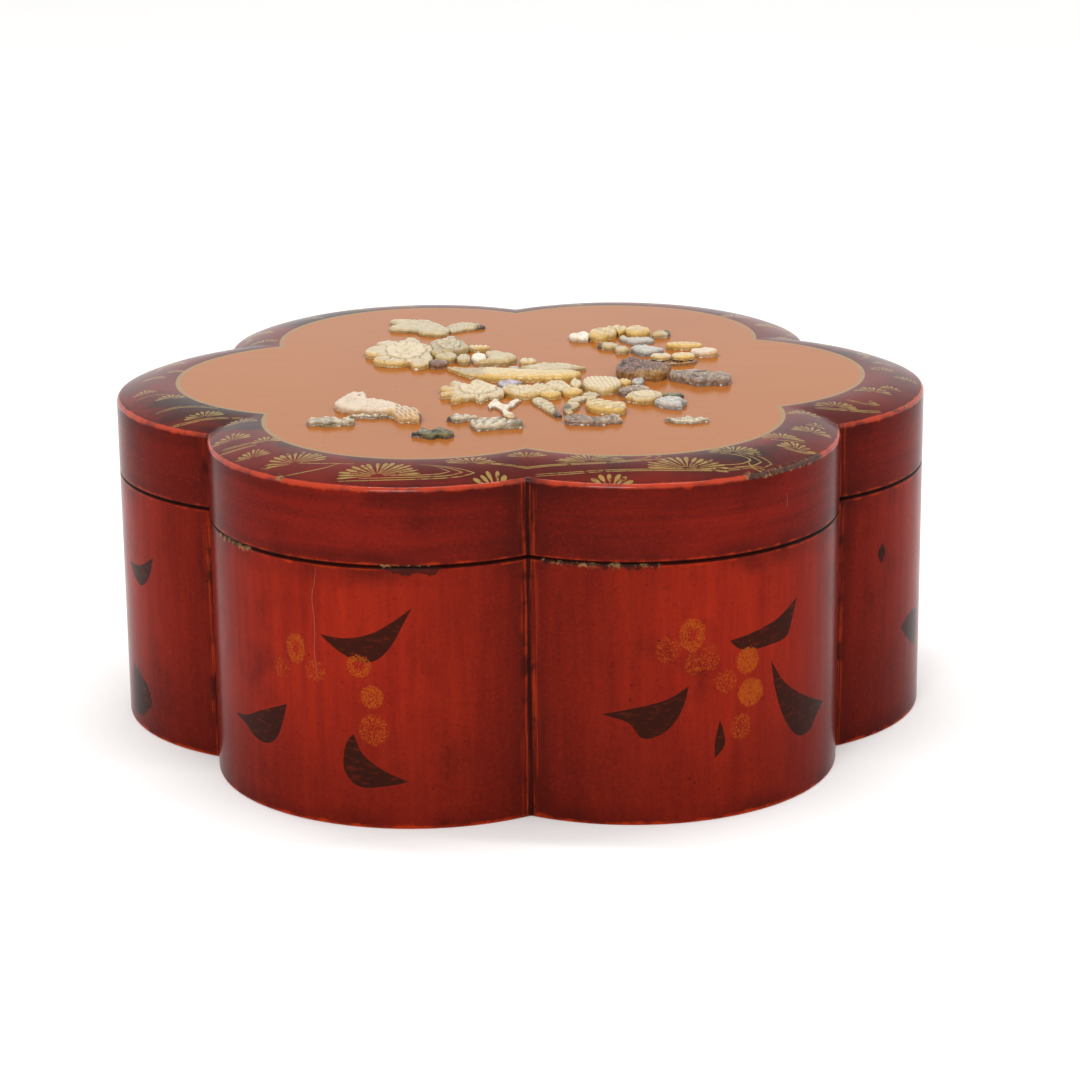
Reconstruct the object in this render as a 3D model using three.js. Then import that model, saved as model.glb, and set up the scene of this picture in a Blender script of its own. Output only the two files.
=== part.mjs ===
// A six-lobed lacquered wooden box with a lift-off lid. The lid's flat panel carries a picture
// of birds, flowers, twigs and rocks, each one a carved piece of shell or stone glued on.
// Millimetres, +Z up, origin under the middle of the base. The front looks along -Y.

import * as THREE from 'three';
import { mergeVertices } from 'three/addons/utils/BufferGeometryUtils.js';

// Plan of the box: six equal circles round the middle, one of them on the +X axis.
const HALF_WIDTH = 170;
const LOBES = 6;
const LOBE_CENTRE = 86.5;
const LOBE_RADIUS = HALF_WIDTH - LOBE_CENTRE;
const STEPS_PER_LOBE = 16;

// The flat panel on the lid has the same plan, drawn in by a border about 25 wide.
const PANEL_CENTRE = 79.9;
const PANEL_RADIUS = 65.3;

// Heights.
const FLOOR_HEIGHT = 8;
const SEAM_HEIGHT = 106.25;
const LID_EDGE_HEIGHT = 137;
const PANEL_HEIGHT = 142.25;
const ROOF_HEIGHT = 134;

// The wall carries a lip on its inner side, and the lid's thinner wall drops round it.
const WALL = 7.5;
const LID_WALL = 4.2;
const LIP_GAP = 0.5;
const LIP_HEIGHT = 7;
const ARRIS = 0.9;
const SHOULDER_STEPS = [0.97, 0.84, 0.66, 0.42, 0];
const SHOULDER_POWER = 2.1;

// Onlays: points round an outline, and the rings of the carved top. A ring has its share of the
// way in to the piece's spine, and its share of the crown's height.
const DOME = [{ inset: 0.38, rise: 0.75 }, { inset: 0.72, rise: 1 }];
const BUTTON = [{ inset: 0.4, rise: 0.6 }, { inset: 0.74, rise: 1 }];
const LOW_DOME = [{ inset: 0.5, rise: 1 }];
const PETAL_POINTS = 4;
const PETAL_RADII = [0.66, 0.92, 1, 0.92];
const OUTLINE_POINTS = 20;
const LEAF_POINTS = 12;
const LEAF_HALF_SPINE = 0.5;
const ROCK_POINTS = 12;
const ROCK_BULGE = 0.08;
const ROCK_SQUARENESS = 0.7;
const ROCK_RIPPLE = 0.45;

const TONES = {
  lacquer: { color: '#9c2a1a', roughness: 0.25 },
  cream: { color: '#e6d6ae', roughness: 0.4 },
  yellow: { color: '#dcc078', roughness: 0.4 },
  pearl: { color: '#d8cdb4', roughness: 0.35 },
  white: { color: '#efe6da', roughness: 0.35 },
  pink: { color: '#efdccb', roughness: 0.35 },
  grey: { color: '#b9b6ae', roughness: 0.35 },
  blue: { color: '#a9b0b6', roughness: 0.35 },
  lavender: { color: '#b8afb6', roughness: 0.35 },
  mauve: { color: '#a08c8a', roughness: 0.35 },
  purple: { color: '#6f5850', roughness: 0.35 },
  olive: { color: '#7d7454', roughness: 0.45 },
};

const model = new THREE.Group();

function addPiece(name, geometry, tone) {
  const material = new THREE.MeshStandardMaterial({ metalness: 0, ...TONES[tone] });
  const mesh = new THREE.Mesh(geometry, material);
  mesh.name = name;
  model.add(mesh);
}

// Closed solid through rings of equally many points, each ring counter-clockwise from above.
// The first ring is capped facing down and the last one facing up.
function ringSolid(rings) {
  const count = rings[0].length;
  const positions = rings.flat().flatMap((point) => [point.x, point.y, point.z]);
  const index = [];
  const cap = (ring) => THREE.ShapeUtils.triangulateShape(
    ring.map((point) => new THREE.Vector2(point.x, point.y)), []);
  for (const [a, b, c] of cap(rings[0])) {
    index.push(c, b, a);
  }
  for (let ring = 0; ring < rings.length - 1; ring++) {
    for (let i = 0; i < count; i++) {
      const low = ring * count + i;
      const lowNext = ring * count + (i + 1) % count;
      index.push(low, lowNext, lowNext + count);
      index.push(low, lowNext + count, low + count);
    }
  }
  const last = (rings.length - 1) * count;
  for (const [a, b, c] of cap(rings.at(-1))) {
    index.push(last + a, last + b, last + c);
  }
  const geometry = new THREE.BufferGeometry();
  geometry.setAttribute('position', new THREE.Float32BufferAttribute(positions, 3));
  geometry.setIndex(index);
  return mergeVertices(geometry);
}

// One turn round the six-lobed plan at height z. Every lobe starts at its valley.
function lobedRing(centre, radius, z) {
  const halfSector = Math.PI / LOBES;
  const valley = centre * Math.cos(halfSector)
    + Math.sqrt(radius ** 2 - (centre * Math.sin(halfSector)) ** 2);
  const reach = Math.atan2(valley * Math.sin(halfSector), valley * Math.cos(halfSector) - centre);
  const points = [];
  for (let lobe = 0; lobe < LOBES; lobe++) {
    for (let step = 0; step < STEPS_PER_LOBE; step++) {
      const angle = reach * (2 * step / STEPS_PER_LOBE - 1);
      const point = new THREE.Vector3(
        centre + radius * Math.cos(angle), radius * Math.sin(angle), z);
      points.push(point.applyAxisAngle(new THREE.Vector3(0, 0, 1), lobe * 2 * halfSector));
    }
  }
  return points;
}

function wallRing(inset, z) {
  return lobedRing(LOBE_CENTRE, LOBE_RADIUS - inset, z);
}

// Ring on the lid's convex shoulder, with t = 1 at the outer edge and 0 at the panel.
function shoulderRing(t) {
  const drop = (PANEL_HEIGHT - LID_EDGE_HEIGHT) * t ** SHOULDER_POWER;
  return lobedRing(
    THREE.MathUtils.lerp(PANEL_CENTRE, LOBE_CENTRE, t),
    THREE.MathUtils.lerp(PANEL_RADIUS, LOBE_RADIUS, t),
    PANEL_HEIGHT - drop);
}

function boxBody() {
  const lipInset = LID_WALL + LIP_GAP;
  return ringSolid([
    wallRing(ARRIS, 0),
    wallRing(0, ARRIS),
    wallRing(0, SEAM_HEIGHT - ARRIS),
    wallRing(ARRIS, SEAM_HEIGHT),
    wallRing(lipInset, SEAM_HEIGHT),
    wallRing(lipInset, SEAM_HEIGHT + LIP_HEIGHT),
    wallRing(WALL, SEAM_HEIGHT + LIP_HEIGHT),
    wallRing(WALL, FLOOR_HEIGHT),
  ]);
}

function lid() {
  return ringSolid([
    wallRing(LID_WALL, ROOF_HEIGHT),
    wallRing(LID_WALL, SEAM_HEIGHT),
    wallRing(ARRIS, SEAM_HEIGHT),
    wallRing(0, SEAM_HEIGHT + ARRIS),
    wallRing(0, LID_EDGE_HEIGHT - ARRIS),
    ...SHOULDER_STEPS.map(shoulderRing),
  ]);
}

const toVector = ([x, y]) => new THREE.Vector2(x, y);

function nearestOnSpine(point, spine) {
  let nearest = spine[0];
  for (let i = 0; i < spine.length - 1; i++) {
    const along = spine[i + 1].clone().sub(spine[i]);
    const share = point.clone().sub(spine[i]).dot(along) / along.lengthSq();
    const foot = spine[i].clone().addScaledVector(along, THREE.MathUtils.clamp(share, 0, 1));
    if (foot.distanceTo(point) < nearest.distanceTo(point)) {
      nearest = foot;
    }
  }
  return nearest;
}

// A glued piece: upright edge of height `edge`, then a carved top that rises by `crown` towards
// the spine. `ripple(i)` lifts or sinks the carving at outline point i, and fades inwards.
function onlay(outline, spine, { base = PANEL_HEIGHT, edge, crown, top = DOME,
  ripple = () => 0 }) {
  const ring = (inset, height) => outline.map((point, i) => {
    const placed = point.clone().lerp(nearestOnSpine(point, spine), inset);
    return new THREE.Vector3(placed.x, placed.y, base + height(i));
  });
  return ringSolid([
    ring(0, () => 0),
    ring(0, () => edge),
    ...top.map(({ inset, rise }) => ring(
      inset, (i) => edge + crown * rise + (1 - inset) * ripple(i))),
  ]);
}

// Radiating petals round a centre. The tips stand out and up, the cuts between them lie lower.
function flower({ at, reach, petals, edge, crown = 1.25, cut = 0.75, base }) {
  const centre = toVector(at);
  const count = petals * PETAL_POINTS;
  const outline = [];
  for (let i = 0; i < count; i++) {
    const angle = 2 * Math.PI * (i - PETAL_POINTS / 2) / count + Math.PI / 2;
    const share = PETAL_RADII[i % PETAL_POINTS];
    outline.push(new THREE.Vector2(
      at[0] + reach[0] * share * Math.cos(angle),
      at[1] + reach[1] * share * Math.sin(angle)));
  }
  const ripple = (i) => (i % PETAL_POINTS === 0 ? -cut : 0);
  return onlay(outline, [centre], { base, edge, crown, ripple, top: BUTTON });
}

// An oval or pointed leaf. `point` 0 gives an oval, 1 a leaf pointed at both ends.
function leaf({ at, length, width, turn = 0, point = 0.5, edge, crown = 1, base }) {
  const centre = toVector(at);
  const angle = THREE.MathUtils.degToRad(turn);
  const outline = [];
  for (let i = 0; i < LEAF_POINTS; i++) {
    const round = 2 * Math.PI * i / LEAF_POINTS;
    const side = Math.sin(round) * Math.abs(Math.sin(round)) ** point;
    const local = new THREE.Vector2(Math.cos(round) * length / 2, side * width / 2);
    outline.push(local.add(centre).rotateAround(centre, angle));
  }
  const halfSpine = new THREE.Vector2(Math.cos(angle), Math.sin(angle))
    .multiplyScalar(Math.max(length - width, 0) / 2 + LEAF_HALF_SPINE);
  const spine = [centre.clone().sub(halfSpine), centre.clone().add(halfSpine)];
  return onlay(outline, spine, { base, edge, crown, top: LOW_DOME });
}

// A freely cut piece: a smooth closed curve through its corner points. `ribs` is the height of
// the ridges cut across its edge, from outline share `ribsFrom` to `ribsTo`.
function cutPiece({ corners, spine, points = OUTLINE_POINTS, edge, crown = 1, ribs = 0,
  ribsFrom = 0, ribsTo = 1 }) {
  const curve = new THREE.CatmullRomCurve3(
    corners.map(([x, y]) => new THREE.Vector3(x, y, 0)), true, 'centripetal');
  const outline = curve.getSpacedPoints(points).slice(0, points)
    .map((place) => new THREE.Vector2(place.x, place.y));
  if (THREE.ShapeUtils.isClockWise(outline)) {
    outline.reverse();
  }
  const ripple = (i) => {
    const share = i / points;
    if (share < ribsFrom || share > ribsTo) {
      return 0;
    }
    return i % 2 === 1 ? ribs / 2 : -ribs / 2;
  };
  return onlay(outline, spine.map(toVector), { edge, crown, ripple });
}

// A thin branch along a path, as wide at each path point as `widths` says.
function twig({ path, widths, edge, crown = 0.75 }) {
  const spine = path.map(toVector);
  const sides = [-1, 1].map((side) => spine.map((point, i) => {
    const before = spine[Math.max(i - 1, 0)];
    const after = spine[Math.min(i + 1, spine.length - 1)];
    const along = after.clone().sub(before).normalize();
    const across = new THREE.Vector2(-along.y, along.x);
    return point.clone().addScaledVector(across, side * widths[i] / 2);
  }));
  const outline = [...sides[0], ...sides[1].reverse()];
  if (THREE.ShapeUtils.isClockWise(outline)) {
    outline.reverse();
  }
  return onlay(outline, spine, { edge, crown, top: LOW_DOME });
}

// A flat pebble with a few broken bulges round it.
function rock({ at, reach, bulges, edge, crown = 1 }) {
  const outline = [];
  for (let i = 0; i < ROCK_POINTS; i++) {
    const angle = 2 * Math.PI * i / ROCK_POINTS;
    const share = 1 - ROCK_BULGE + ROCK_BULGE * Math.sin(bulges * angle);
    const squared = (value) => Math.sign(value) * Math.abs(value) ** ROCK_SQUARENESS;
    outline.push(new THREE.Vector2(
      at[0] + reach[0] * share * squared(Math.cos(angle)),
      at[1] + reach[1] * share * squared(Math.sin(angle))));
  }
  const halfSpine = Math.max(reach[0] - reach[1], 0);
  const spine = [[at[0] - halfSpine, at[1]], [at[0] + halfSpine, at[1]]].map(toVector);
  return onlay(outline, spine, { edge, crown, ripple: (i) => ROCK_RIPPLE * (i % 2) });
}

addPiece('box_body', boxBody(), 'lacquer');
addPiece('lid', lid(), 'lacquer');

const flowers = [
  { name: 'left_chrysanthemum', tone: 'cream', at: [-52, 37.6], reach: [15, 24], petals: 9, edge: 2 },
  { name: 'left_blossom', tone: 'pearl', at: [-29.5, 51], reach: [8, 12.5], petals: 7, edge: 3 },
  { name: 'middle_chrysanthemum', tone: 'cream', at: [-21.4, -32.6], reach: [12.8, 16.4],
    petals: 9, edge: 2 },
  { name: 'cream_flower', tone: 'cream', at: [49.9, -45.7], reach: [7, 8.8], petals: 7, edge: 2.25 },
  { name: 'purple_flower', tone: 'purple', at: [51.4, -0.7], reach: [12.2, 12.3], petals: 6,
    edge: 3.5, crown: 1.5, cut: 1.1 },
  { name: 'yellow_bloom_left', tone: 'yellow', at: [37.2, 68.2], reach: [6.1, 9.2], petals: 6,
    edge: 2.5 },
  { name: 'yellow_bloom_right', tone: 'yellow', at: [52.8, 70], reach: [5.8, 8.3], petals: 6,
    edge: 2.5 },
];

const leaves = [
  { name: 'left_bud_arm', tone: 'yellow', at: [-17.5, 45.3], length: 9, width: 3.6, edge: 2 },
  { name: 'left_sepal', tone: 'pearl', at: [-31.5, 28.5], length: 12, width: 9, turn: 90,
    point: 0.2, edge: 2 },
  { name: 'left_shade_leaf', tone: 'purple', at: [-35, 17], length: 9, width: 7.6, turn: 90,
    edge: 2 },
  { name: 'left_oval_bud', tone: 'pearl', at: [-24, 25], length: 12, width: 5.4, turn: 90,
    point: 0, edge: 2 },
  { name: 'left_white_bud', tone: 'white', at: [-17.4, 26], length: 12, width: 6, turn: 90,
    point: 0, edge: 2 },
  { name: 'small_bud', tone: 'pearl', at: [3.5, 18.8], length: 7, width: 5.6, point: 0, edge: 1.75 },
  { name: 'blue_chip', tone: 'blue', at: [-2.7, 9.9], length: 4.4, width: 3, point: 0, edge: 1,
    crown: 0.5 },
  { name: 'front_petal_left', tone: 'yellow', at: [11.6, -40.6], length: 8, width: 7.4,
    point: 0.3, edge: 2 },
  { name: 'front_petal_right', tone: 'yellow', at: [20.6, -37], length: 8, width: 7.8,
    point: 0.3, edge: 2 },
  { name: 'side_leaf', tone: 'cream', at: [22.6, -23.5], length: 14, width: 4.4, turn: 90, edge: 2 },
  { name: 'hatched_bud', tone: 'cream', at: [32.7, -25.5], length: 20, width: 14.6, turn: 90,
    point: 0, edge: 2.25, crown: 1.5 },
  { name: 'hatched_bud_tip', tone: 'yellow', at: [42.9, -21.3], length: 6.4, width: 5, turn: 90,
    edge: 2 },
  { name: 'blue_leaf_left', tone: 'blue', at: [38.2, -13.2], length: 4.2, width: 3.2, point: 0,
    edge: 1.5, crown: 0.5 },
  { name: 'blue_leaf_right', tone: 'blue', at: [48.6, -20.6], length: 8, width: 4.6, turn: 80,
    edge: 2 },
  { name: 'dark_leaf', tone: 'olive', at: [61.6, -43.6], length: 9, width: 3.6, edge: 1.5,
    crown: 0.75 },
  { name: 'pink_bud', tone: 'pink', at: [26.4, 64.8], length: 9, width: 7, point: 0, edge: 2 },
  { name: 'yellow_bloom_middle', tone: 'yellow', at: [44.7, 78], length: 10, width: 6.6, turn: 90,
    point: 0.1, edge: 2.25 },
  { name: 'back_leaf', tone: 'olive', at: [63.3, 68], length: 9.6, width: 5.2, turn: 35, edge: 1.75 },
  { name: 'grey_leaf_back', tone: 'blue', at: [52.3, 56.3], length: 11.5, width: 6.6, turn: -12,
    edge: 1.5 },
  { name: 'grey_leaf_front', tone: 'blue', at: [55, 37.2], length: 14, width: 9.5, turn: -22,
    point: 0.3, edge: 2 },
  { name: 'stem_leaf_left', tone: 'olive', at: [38, 46.8], length: 9, width: 5, turn: -18,
    edge: 1.5 },
  { name: 'stem_leaf_right', tone: 'pearl', at: [44.6, 38.3], length: 6.6, width: 5.4, turn: 90,
    point: 0.3, edge: 1.75 },
  { name: 'yellow_bar', tone: 'yellow', at: [72, 44.2], length: 15.6, width: 6, turn: -8,
    point: 0.2, edge: 2 },
  { name: 'pink_petal', tone: 'pink', at: [79.8, 31.2], length: 11.4, width: 8.4, turn: -6,
    point: 0, edge: 2 },
  { name: 'shell_base', tone: 'purple', at: [65, 19], length: 21, width: 12, point: 0,
    edge: 1.25, crown: 0.25 },
  { name: 'cream_petal_left', tone: 'cream', at: [60.4, 20.2], length: 8.2, width: 7.4, point: 0,
    base: PANEL_HEIGHT + 1.5, edge: 1.5, crown: 0.75 },
  { name: 'cream_petal_right', tone: 'yellow', at: [70, 20], length: 9.6, width: 8, point: 0,
    base: PANEL_HEIGHT + 1.5, edge: 1.5, crown: 0.75 },
];

const cutPieces = [
  { name: 'swallow_body', tone: 'pearl', edge: 1.25, points: 24, ribs: 0.6, ribsFrom: 0.5,
    corners: [[-57, 87], [-48, 86], [-44, 78.7], [-37, 73.7], [-31.5, 74.7], [-32.5, 81.4],
      [-36.5, 94.4], [-43, 101.4], [-57, 101.8], [-56.5, 98.8], [-50, 95], [-57, 91.5]],
    spine: [[-51, 91], [-43, 88], [-35, 79]] },
  { name: 'swallow_wing', tone: 'pearl', edge: 1, points: 16, ribs: 0.45,
    corners: [[-31.6, 83.5], [-26, 81.2], [-19, 85.2], [-14.5, 89.5], [-19, 94.3], [-25, 96.8],
      [-34, 93.6]],
    spine: [[-29, 88], [-20, 90]] },
  { name: 'left_round_leaf', tone: 'pearl', edge: 2, points: 14,
    corners: [[-13.4, 35.3], [-8, 33.8], [-4, 30], [-2.3, 25], [-3.5, 19.5], [-8, 17],
      [-12.5, 18.5], [-13.6, 26]],
    spine: [[-11, 30], [-7, 23]] },
  { name: 'long_bird_body', tone: 'yellow', edge: 2.25, crown: 1.25, points: 24,
    corners: [[-32.5, 9.2], [-25, 9.6], [-14, 5.8], [-5, 1.8], [3, 0.6], [10, -3.8], [19, -5.6],
      [24.5, -8.2], [24.8, -10.6], [12, -11.6], [0, -12.6], [-10, -11.6], [-18, -6], [-25, 3]],
    spine: [[-27, 7], [-14, -1], [-2, -6], [20, -8.6]] },
  { name: 'long_bird_wing', tone: 'pearl', edge: 1.5, points: 18, ribs: 0.75,
    corners: [[3.2, 3], [5, 10], [10, 13.6], [15, 14.4], [21, 10.6], [28, 4.2], [22, -2],
      [12, -2.2]],
    spine: [[8, 5], [20, 4]] },
  { name: 'lavender_leaf', tone: 'lavender', edge: 2, points: 14,
    corners: [[-9.4, -20], [-5, -17.4], [-1, -17], [0.8, -19], [-2.5, -24], [-7.4, -27.4],
      [-8.6, -23.6]],
    spine: [[-6.5, -24], [-3, -19.5]] },
  { name: 'front_bird_body', tone: 'cream', edge: 2, crown: 1.25, points: 24,
    corners: [[-7, -36], [-3, -28.5], [3, -23.8], [9, -23.8], [11.5, -19.8], [16.8, -19.8],
      [18.8, -26], [19.2, -30], [14, -33], [7, -35.6], [3, -40], [-3, -40.6]],
    spine: [[-3, -36], [5, -30], [14, -26]] },
  { name: 'mauve_leaf', tone: 'mauve', edge: 2, points: 16,
    corners: [[40.4, -38.5], [41, -33], [45, -30.5], [50, -30], [53.6, -32.5], [52.5, -34.4],
      [48, -34.8], [44.2, -36.6], [42.4, -39.4]],
    spine: [[42, -37], [44, -33.8], [51, -32.3]] },
  { name: 'tulip_leaf', tone: 'blue', edge: 2, points: 18, ribs: 0.6,
    corners: [[57.5, -53.5], [62, -51.8], [66, -53.5], [66.2, -57], [64, -58.4], [63.4, -63],
      [58.5, -62], [54.4, -59.6], [55.5, -56]],
    spine: [[57.5, -59], [62, -56]] },
  { name: 'grey_butterfly', tone: 'mauve', edge: 3, crown: 0.75, points: 20, ribs: 0.75,
    corners: [[63.2, -8.4], [70, -7], [79, -7.5], [85, -10], [87, -15], [86, -21.5],
      [80, -23.5], [71, -23], [66.5, -20], [64.5, -14]],
    spine: [[69, -13], [81, -15.5]] },
  { name: 'forked_twig', tone: 'white', edge: 1.5, crown: 0.75, points: 26,
    corners: [[-2.2, -46], [-4, -51], [-5.6, -58], [-5, -67], [-3.6, -76], [-6.6, -76.4],
      [-8.8, -67], [-9.6, -58], [-12, -55.6], [-12.6, -60], [-14.4, -57], [-13, -50],
      [-10.8, -47.4], [-9.4, -52], [-7.4, -54], [-5, -47]],
    spine: [[-3.6, -47.6], [-6.8, -55.6], [-11.4, -50.4], [-13.2, -57], [-11.4, -50.4],
      [-6.8, -55.6], [-7, -66], [-5.2, -75]] },
  { name: 'curled_leaf', tone: 'yellow', edge: 2.5, crown: 1, points: 18, ribs: 0.6,
    corners: [[26, -55], [28.3, -52], [33, -55.4], [40.8, -60.6], [41, -65], [38.5, -69.5],
      [33, -70.6], [28, -68], [25.8, -62]],
    spine: [[29.5, -59], [35, -64.5]] },
  { name: 'sitting_bird', tone: 'pink', edge: 2.5, crown: 1, points: 34, ribs: 0.75,
    ribsFrom: 0.3, ribsTo: 0.62,
    corners: [[-67, -37.6], [-70.6, -38.4], [-73.8, -43], [-76.2, -49], [-75.2, -55],
      [-70, -61.5], [-61, -64.4], [-53.2, -68], [-51, -77.6], [-46.4, -79.6], [-41.2, -77.8],
      [-41.2, -73.4], [-45.4, -66], [-49.6, -59], [-55, -53], [-62.4, -48.2], [-64.6, -42.8]],
    spine: [[-69, -42], [-66, -53], [-57, -59], [-47, -74]] },
];

const twigs = [
  { name: 'twisted_twig', tone: 'pearl', edge: 1.5,
    path: [[5.2, -46.5], [8.5, -54], [10.5, -62], [11.7, -69], [14.6, -77]],
    widths: [4, 5.4, 5, 3.6, 1] },
  { name: 'curved_twig', tone: 'pearl', edge: 1.5,
    path: [[27.5, -42], [22.2, -48], [18.9, -56], [17.8, -64], [18.3, -73]],
    widths: [3.4, 4.2, 4.4, 3.8, 3] },
];

const rocks = [
  { name: 'rock_left', tone: 'grey', at: [-77.2, -79.4], reach: [10.4, 4.6], bulges: 5, edge: 2 },
  { name: 'rock_under_bird', tone: 'grey', at: [-62.3, -68.9], reach: [8, 2.3], bulges: 4,
    edge: 1.5, crown: 0.5 },
  { name: 'rock_small', tone: 'grey', at: [-25, -76.3], reach: [6.4, 3], bulges: 3, edge: 2 },
  { name: 'rock_middle', tone: 'grey', at: [-11, -86.5], reach: [11.4, 5.2], bulges: 5,
    edge: 2.25 },
  { name: 'rock_dark', tone: 'olive', at: [-36.4, -99.2], reach: [9, 3.3], bulges: 4, edge: 2 },
  { name: 'rock_mauve', tone: 'mauve', at: [27.5, -83.3], reach: [11.8, 4.5], bulges: 3,
    edge: 2 },
  { name: 'rock_right', tone: 'grey', at: [65, -84.2], reach: [9.4, 2.6], bulges: 5, edge: 1.5,
    crown: 0.75 },
];

const makers = [[flowers, flower], [leaves, leaf], [cutPieces, cutPiece], [twigs, twig],
  [rocks, rock]];
for (const [pieces, make] of makers) {
  for (const piece of pieces) {
    addPiece(piece.name, make(piece), piece.tone);
  }
}

export default model;
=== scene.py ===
"""Looks of the six-lobed lacquer box: worn painted lacquer, and carved shell glued on the lid.

Lengths are in millimetres until a mesh is made. The front looks along -Y.
"""

import math

import bpy
import numpy as np
from mathutils import Matrix, Vector
from mathutils.geometry import delaunay_2d_cdt


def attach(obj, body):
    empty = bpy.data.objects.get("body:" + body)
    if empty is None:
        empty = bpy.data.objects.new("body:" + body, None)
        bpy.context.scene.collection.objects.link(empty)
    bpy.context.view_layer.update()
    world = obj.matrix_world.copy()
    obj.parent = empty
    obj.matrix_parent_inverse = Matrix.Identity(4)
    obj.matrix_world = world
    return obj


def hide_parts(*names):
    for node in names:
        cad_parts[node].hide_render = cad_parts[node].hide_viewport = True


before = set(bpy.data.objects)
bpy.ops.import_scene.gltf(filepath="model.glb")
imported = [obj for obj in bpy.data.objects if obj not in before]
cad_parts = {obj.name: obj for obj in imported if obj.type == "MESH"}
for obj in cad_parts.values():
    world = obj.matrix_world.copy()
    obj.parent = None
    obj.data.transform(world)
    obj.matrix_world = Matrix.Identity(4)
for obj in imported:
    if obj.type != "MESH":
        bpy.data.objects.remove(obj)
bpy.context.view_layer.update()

MILLIMETRE = 0.001

# The camera's place and aim, from matching the box's own outline to the photograph, and the
# photograph's size and middle in pixels.
CAMERA_AZIMUTH = -0.0197374
CAMERA_ELEVATION = 0.2871065
CAMERA_ROLL = -0.0101261
CAMERA_DISTANCE = 1418.29
CAMERA_TARGET = np.array([7.464, 0, 69.566])
CAMERA_LENS = 110.366
SENSOR_WIDTH = 36
PHOTO_SIZE = 1080
PHOTO_MIDDLE = (540.21, 539.96)

# Plan of the box, as in the solid: six circles, with a small fillet in each valley.
LOBES = 6
HALF_SECTOR = math.pi / LOBES
LOBE_CENTRE = 86.5
LOBE_RADIUS = 83.5
VALLEY_FILLET = 1.2
FILLET_CENTRE = LOBE_CENTRE * math.cos(HALF_SECTOR) + math.sqrt(
    (LOBE_RADIUS + VALLEY_FILLET) ** 2 - (LOBE_CENTRE * math.sin(HALF_SECTOR)) ** 2)
REACH = math.atan2(FILLET_CENTRE * math.sin(HALF_SECTOR),
                   FILLET_CENTRE * math.cos(HALF_SECTOR) - LOBE_CENTRE)
HALF_LOBE = REACH * LOBE_RADIUS + (REACH - HALF_SECTOR) * VALLEY_FILLET
PANEL_CENTRE = 79.9
PANEL_RADIUS = 65.3

# Heights, wall thicknesses and rounded arrises.
FLOOR_HEIGHT = 8
SEAM_HEIGHT = 106.25
EDGE_HEIGHT = 137
PANEL_HEIGHT = 142.25
ROOF_HEIGHT = 134
WALL = 7.5
LID_WALL = 4.2
LIP_GAP = 0.5
LIP_HEIGHT = 7
SHOULDER_POWER = 2.1
ARRIS = 0.9
SHOULDER_TILT = math.radians(66)
BORDER_WIDTH = 25
PANEL_LINE = 1.9
WEAR_REACH = 12
TOP_MATERIAL = 1
EDGE_MATERIAL = 2
LID_ARRIS = 1.8


def camera_axes():
    """The camera's right, up and backward directions."""
    back = np.array([math.sin(CAMERA_AZIMUTH) * math.cos(CAMERA_ELEVATION),
                     -math.cos(CAMERA_AZIMUTH) * math.cos(CAMERA_ELEVATION),
                     math.sin(CAMERA_ELEVATION)])
    right = np.cross(-back, (0, 0, 1))
    right /= np.linalg.norm(right)
    up = np.cross(back, right)
    return (right * math.cos(CAMERA_ROLL) + up * math.sin(CAMERA_ROLL),
            up * math.cos(CAMERA_ROLL) - right * math.sin(CAMERA_ROLL), back)


def smooth_loop(points, step, sharp=50, closed=True):
    """A curve through the points, about `step` between samples. Turns over `sharp` stay sharp."""
    points = np.asarray(points, float)
    count = len(points)
    spans = count if closed else count - 1
    chords = np.roll(points, -1, 0) - points
    lengths = np.linalg.norm(chords, axis=1)
    ways = chords / lengths[:, None]
    before = np.roll(ways, 1, 0)
    tangents = ways + before
    tangents /= np.maximum(np.linalg.norm(tangents, axis=1), 1e-9)[:, None]
    is_sharp = np.sum(ways * before, 1) < math.cos(math.radians(sharp))
    if not closed:
        is_sharp[[0, -1]] = True
    curve = []
    for i in range(spans):
        after = (i + 1) % count
        start = ways[i] if is_sharp[i] else tangents[i]
        end = ways[i] if is_sharp[after] else tangents[after]
        share = np.arange(0, 1, step / max(lengths[i], step))[:, None]
        curve.append(
            (2 * share ** 3 - 3 * share ** 2 + 1) * points[i]
            + (share ** 3 - 2 * share ** 2 + share) * start * lengths[i]
            + (3 * share ** 2 - 2 * share ** 3) * points[after]
            + (share ** 3 - share ** 2) * end * lengths[i])
    if not closed:
        curve.append(points[-1:])
    return np.concatenate(curve)


def ribbon(path, width, taper=0.25):
    """Outline of a brush stroke along an open path, thinner at both ends."""
    path = smooth_loop(path, 1.2, closed=False)
    along = np.gradient(path, axis=0)
    along /= np.linalg.norm(along, axis=1)[:, None]
    across = np.stack([-along[:, 1], along[:, 0]], 1)
    ends = np.sin(np.linspace(0, math.pi, len(path)))
    half = width / 2 * (taper + (1 - taper) * ends ** 0.4)
    return np.concatenate([path + across * half[:, None], (path - across * half[:, None])[::-1]])


def inside(points, loop):
    """True for each point that lies inside the closed loop."""
    x, y = points[:, 0, None], points[:, 1, None]
    ax, ay = loop[:, 0], loop[:, 1]
    bx, by = np.roll(ax, -1), np.roll(ay, -1)
    crosses = (ay > y) != (by > y)
    rise = np.where(by == ay, 1, by - ay)
    return np.sum(crosses & (x < (bx - ax) * (y - ay) / rise + ax), 1) % 2 == 1


def loop_distance(points, loop):
    """Distance from each point to the closed loop."""
    start, end = loop, np.roll(loop, -1, 0)
    along = end - start
    offset = points[:, None] - start
    share = np.sum(offset * along, 2) / np.maximum(np.sum(along * along, 1), 1e-12)
    foot = offset - np.clip(share, 0, 1)[..., None] * along
    return np.sqrt(np.min(np.sum(foot * foot, 2), 1))


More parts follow.
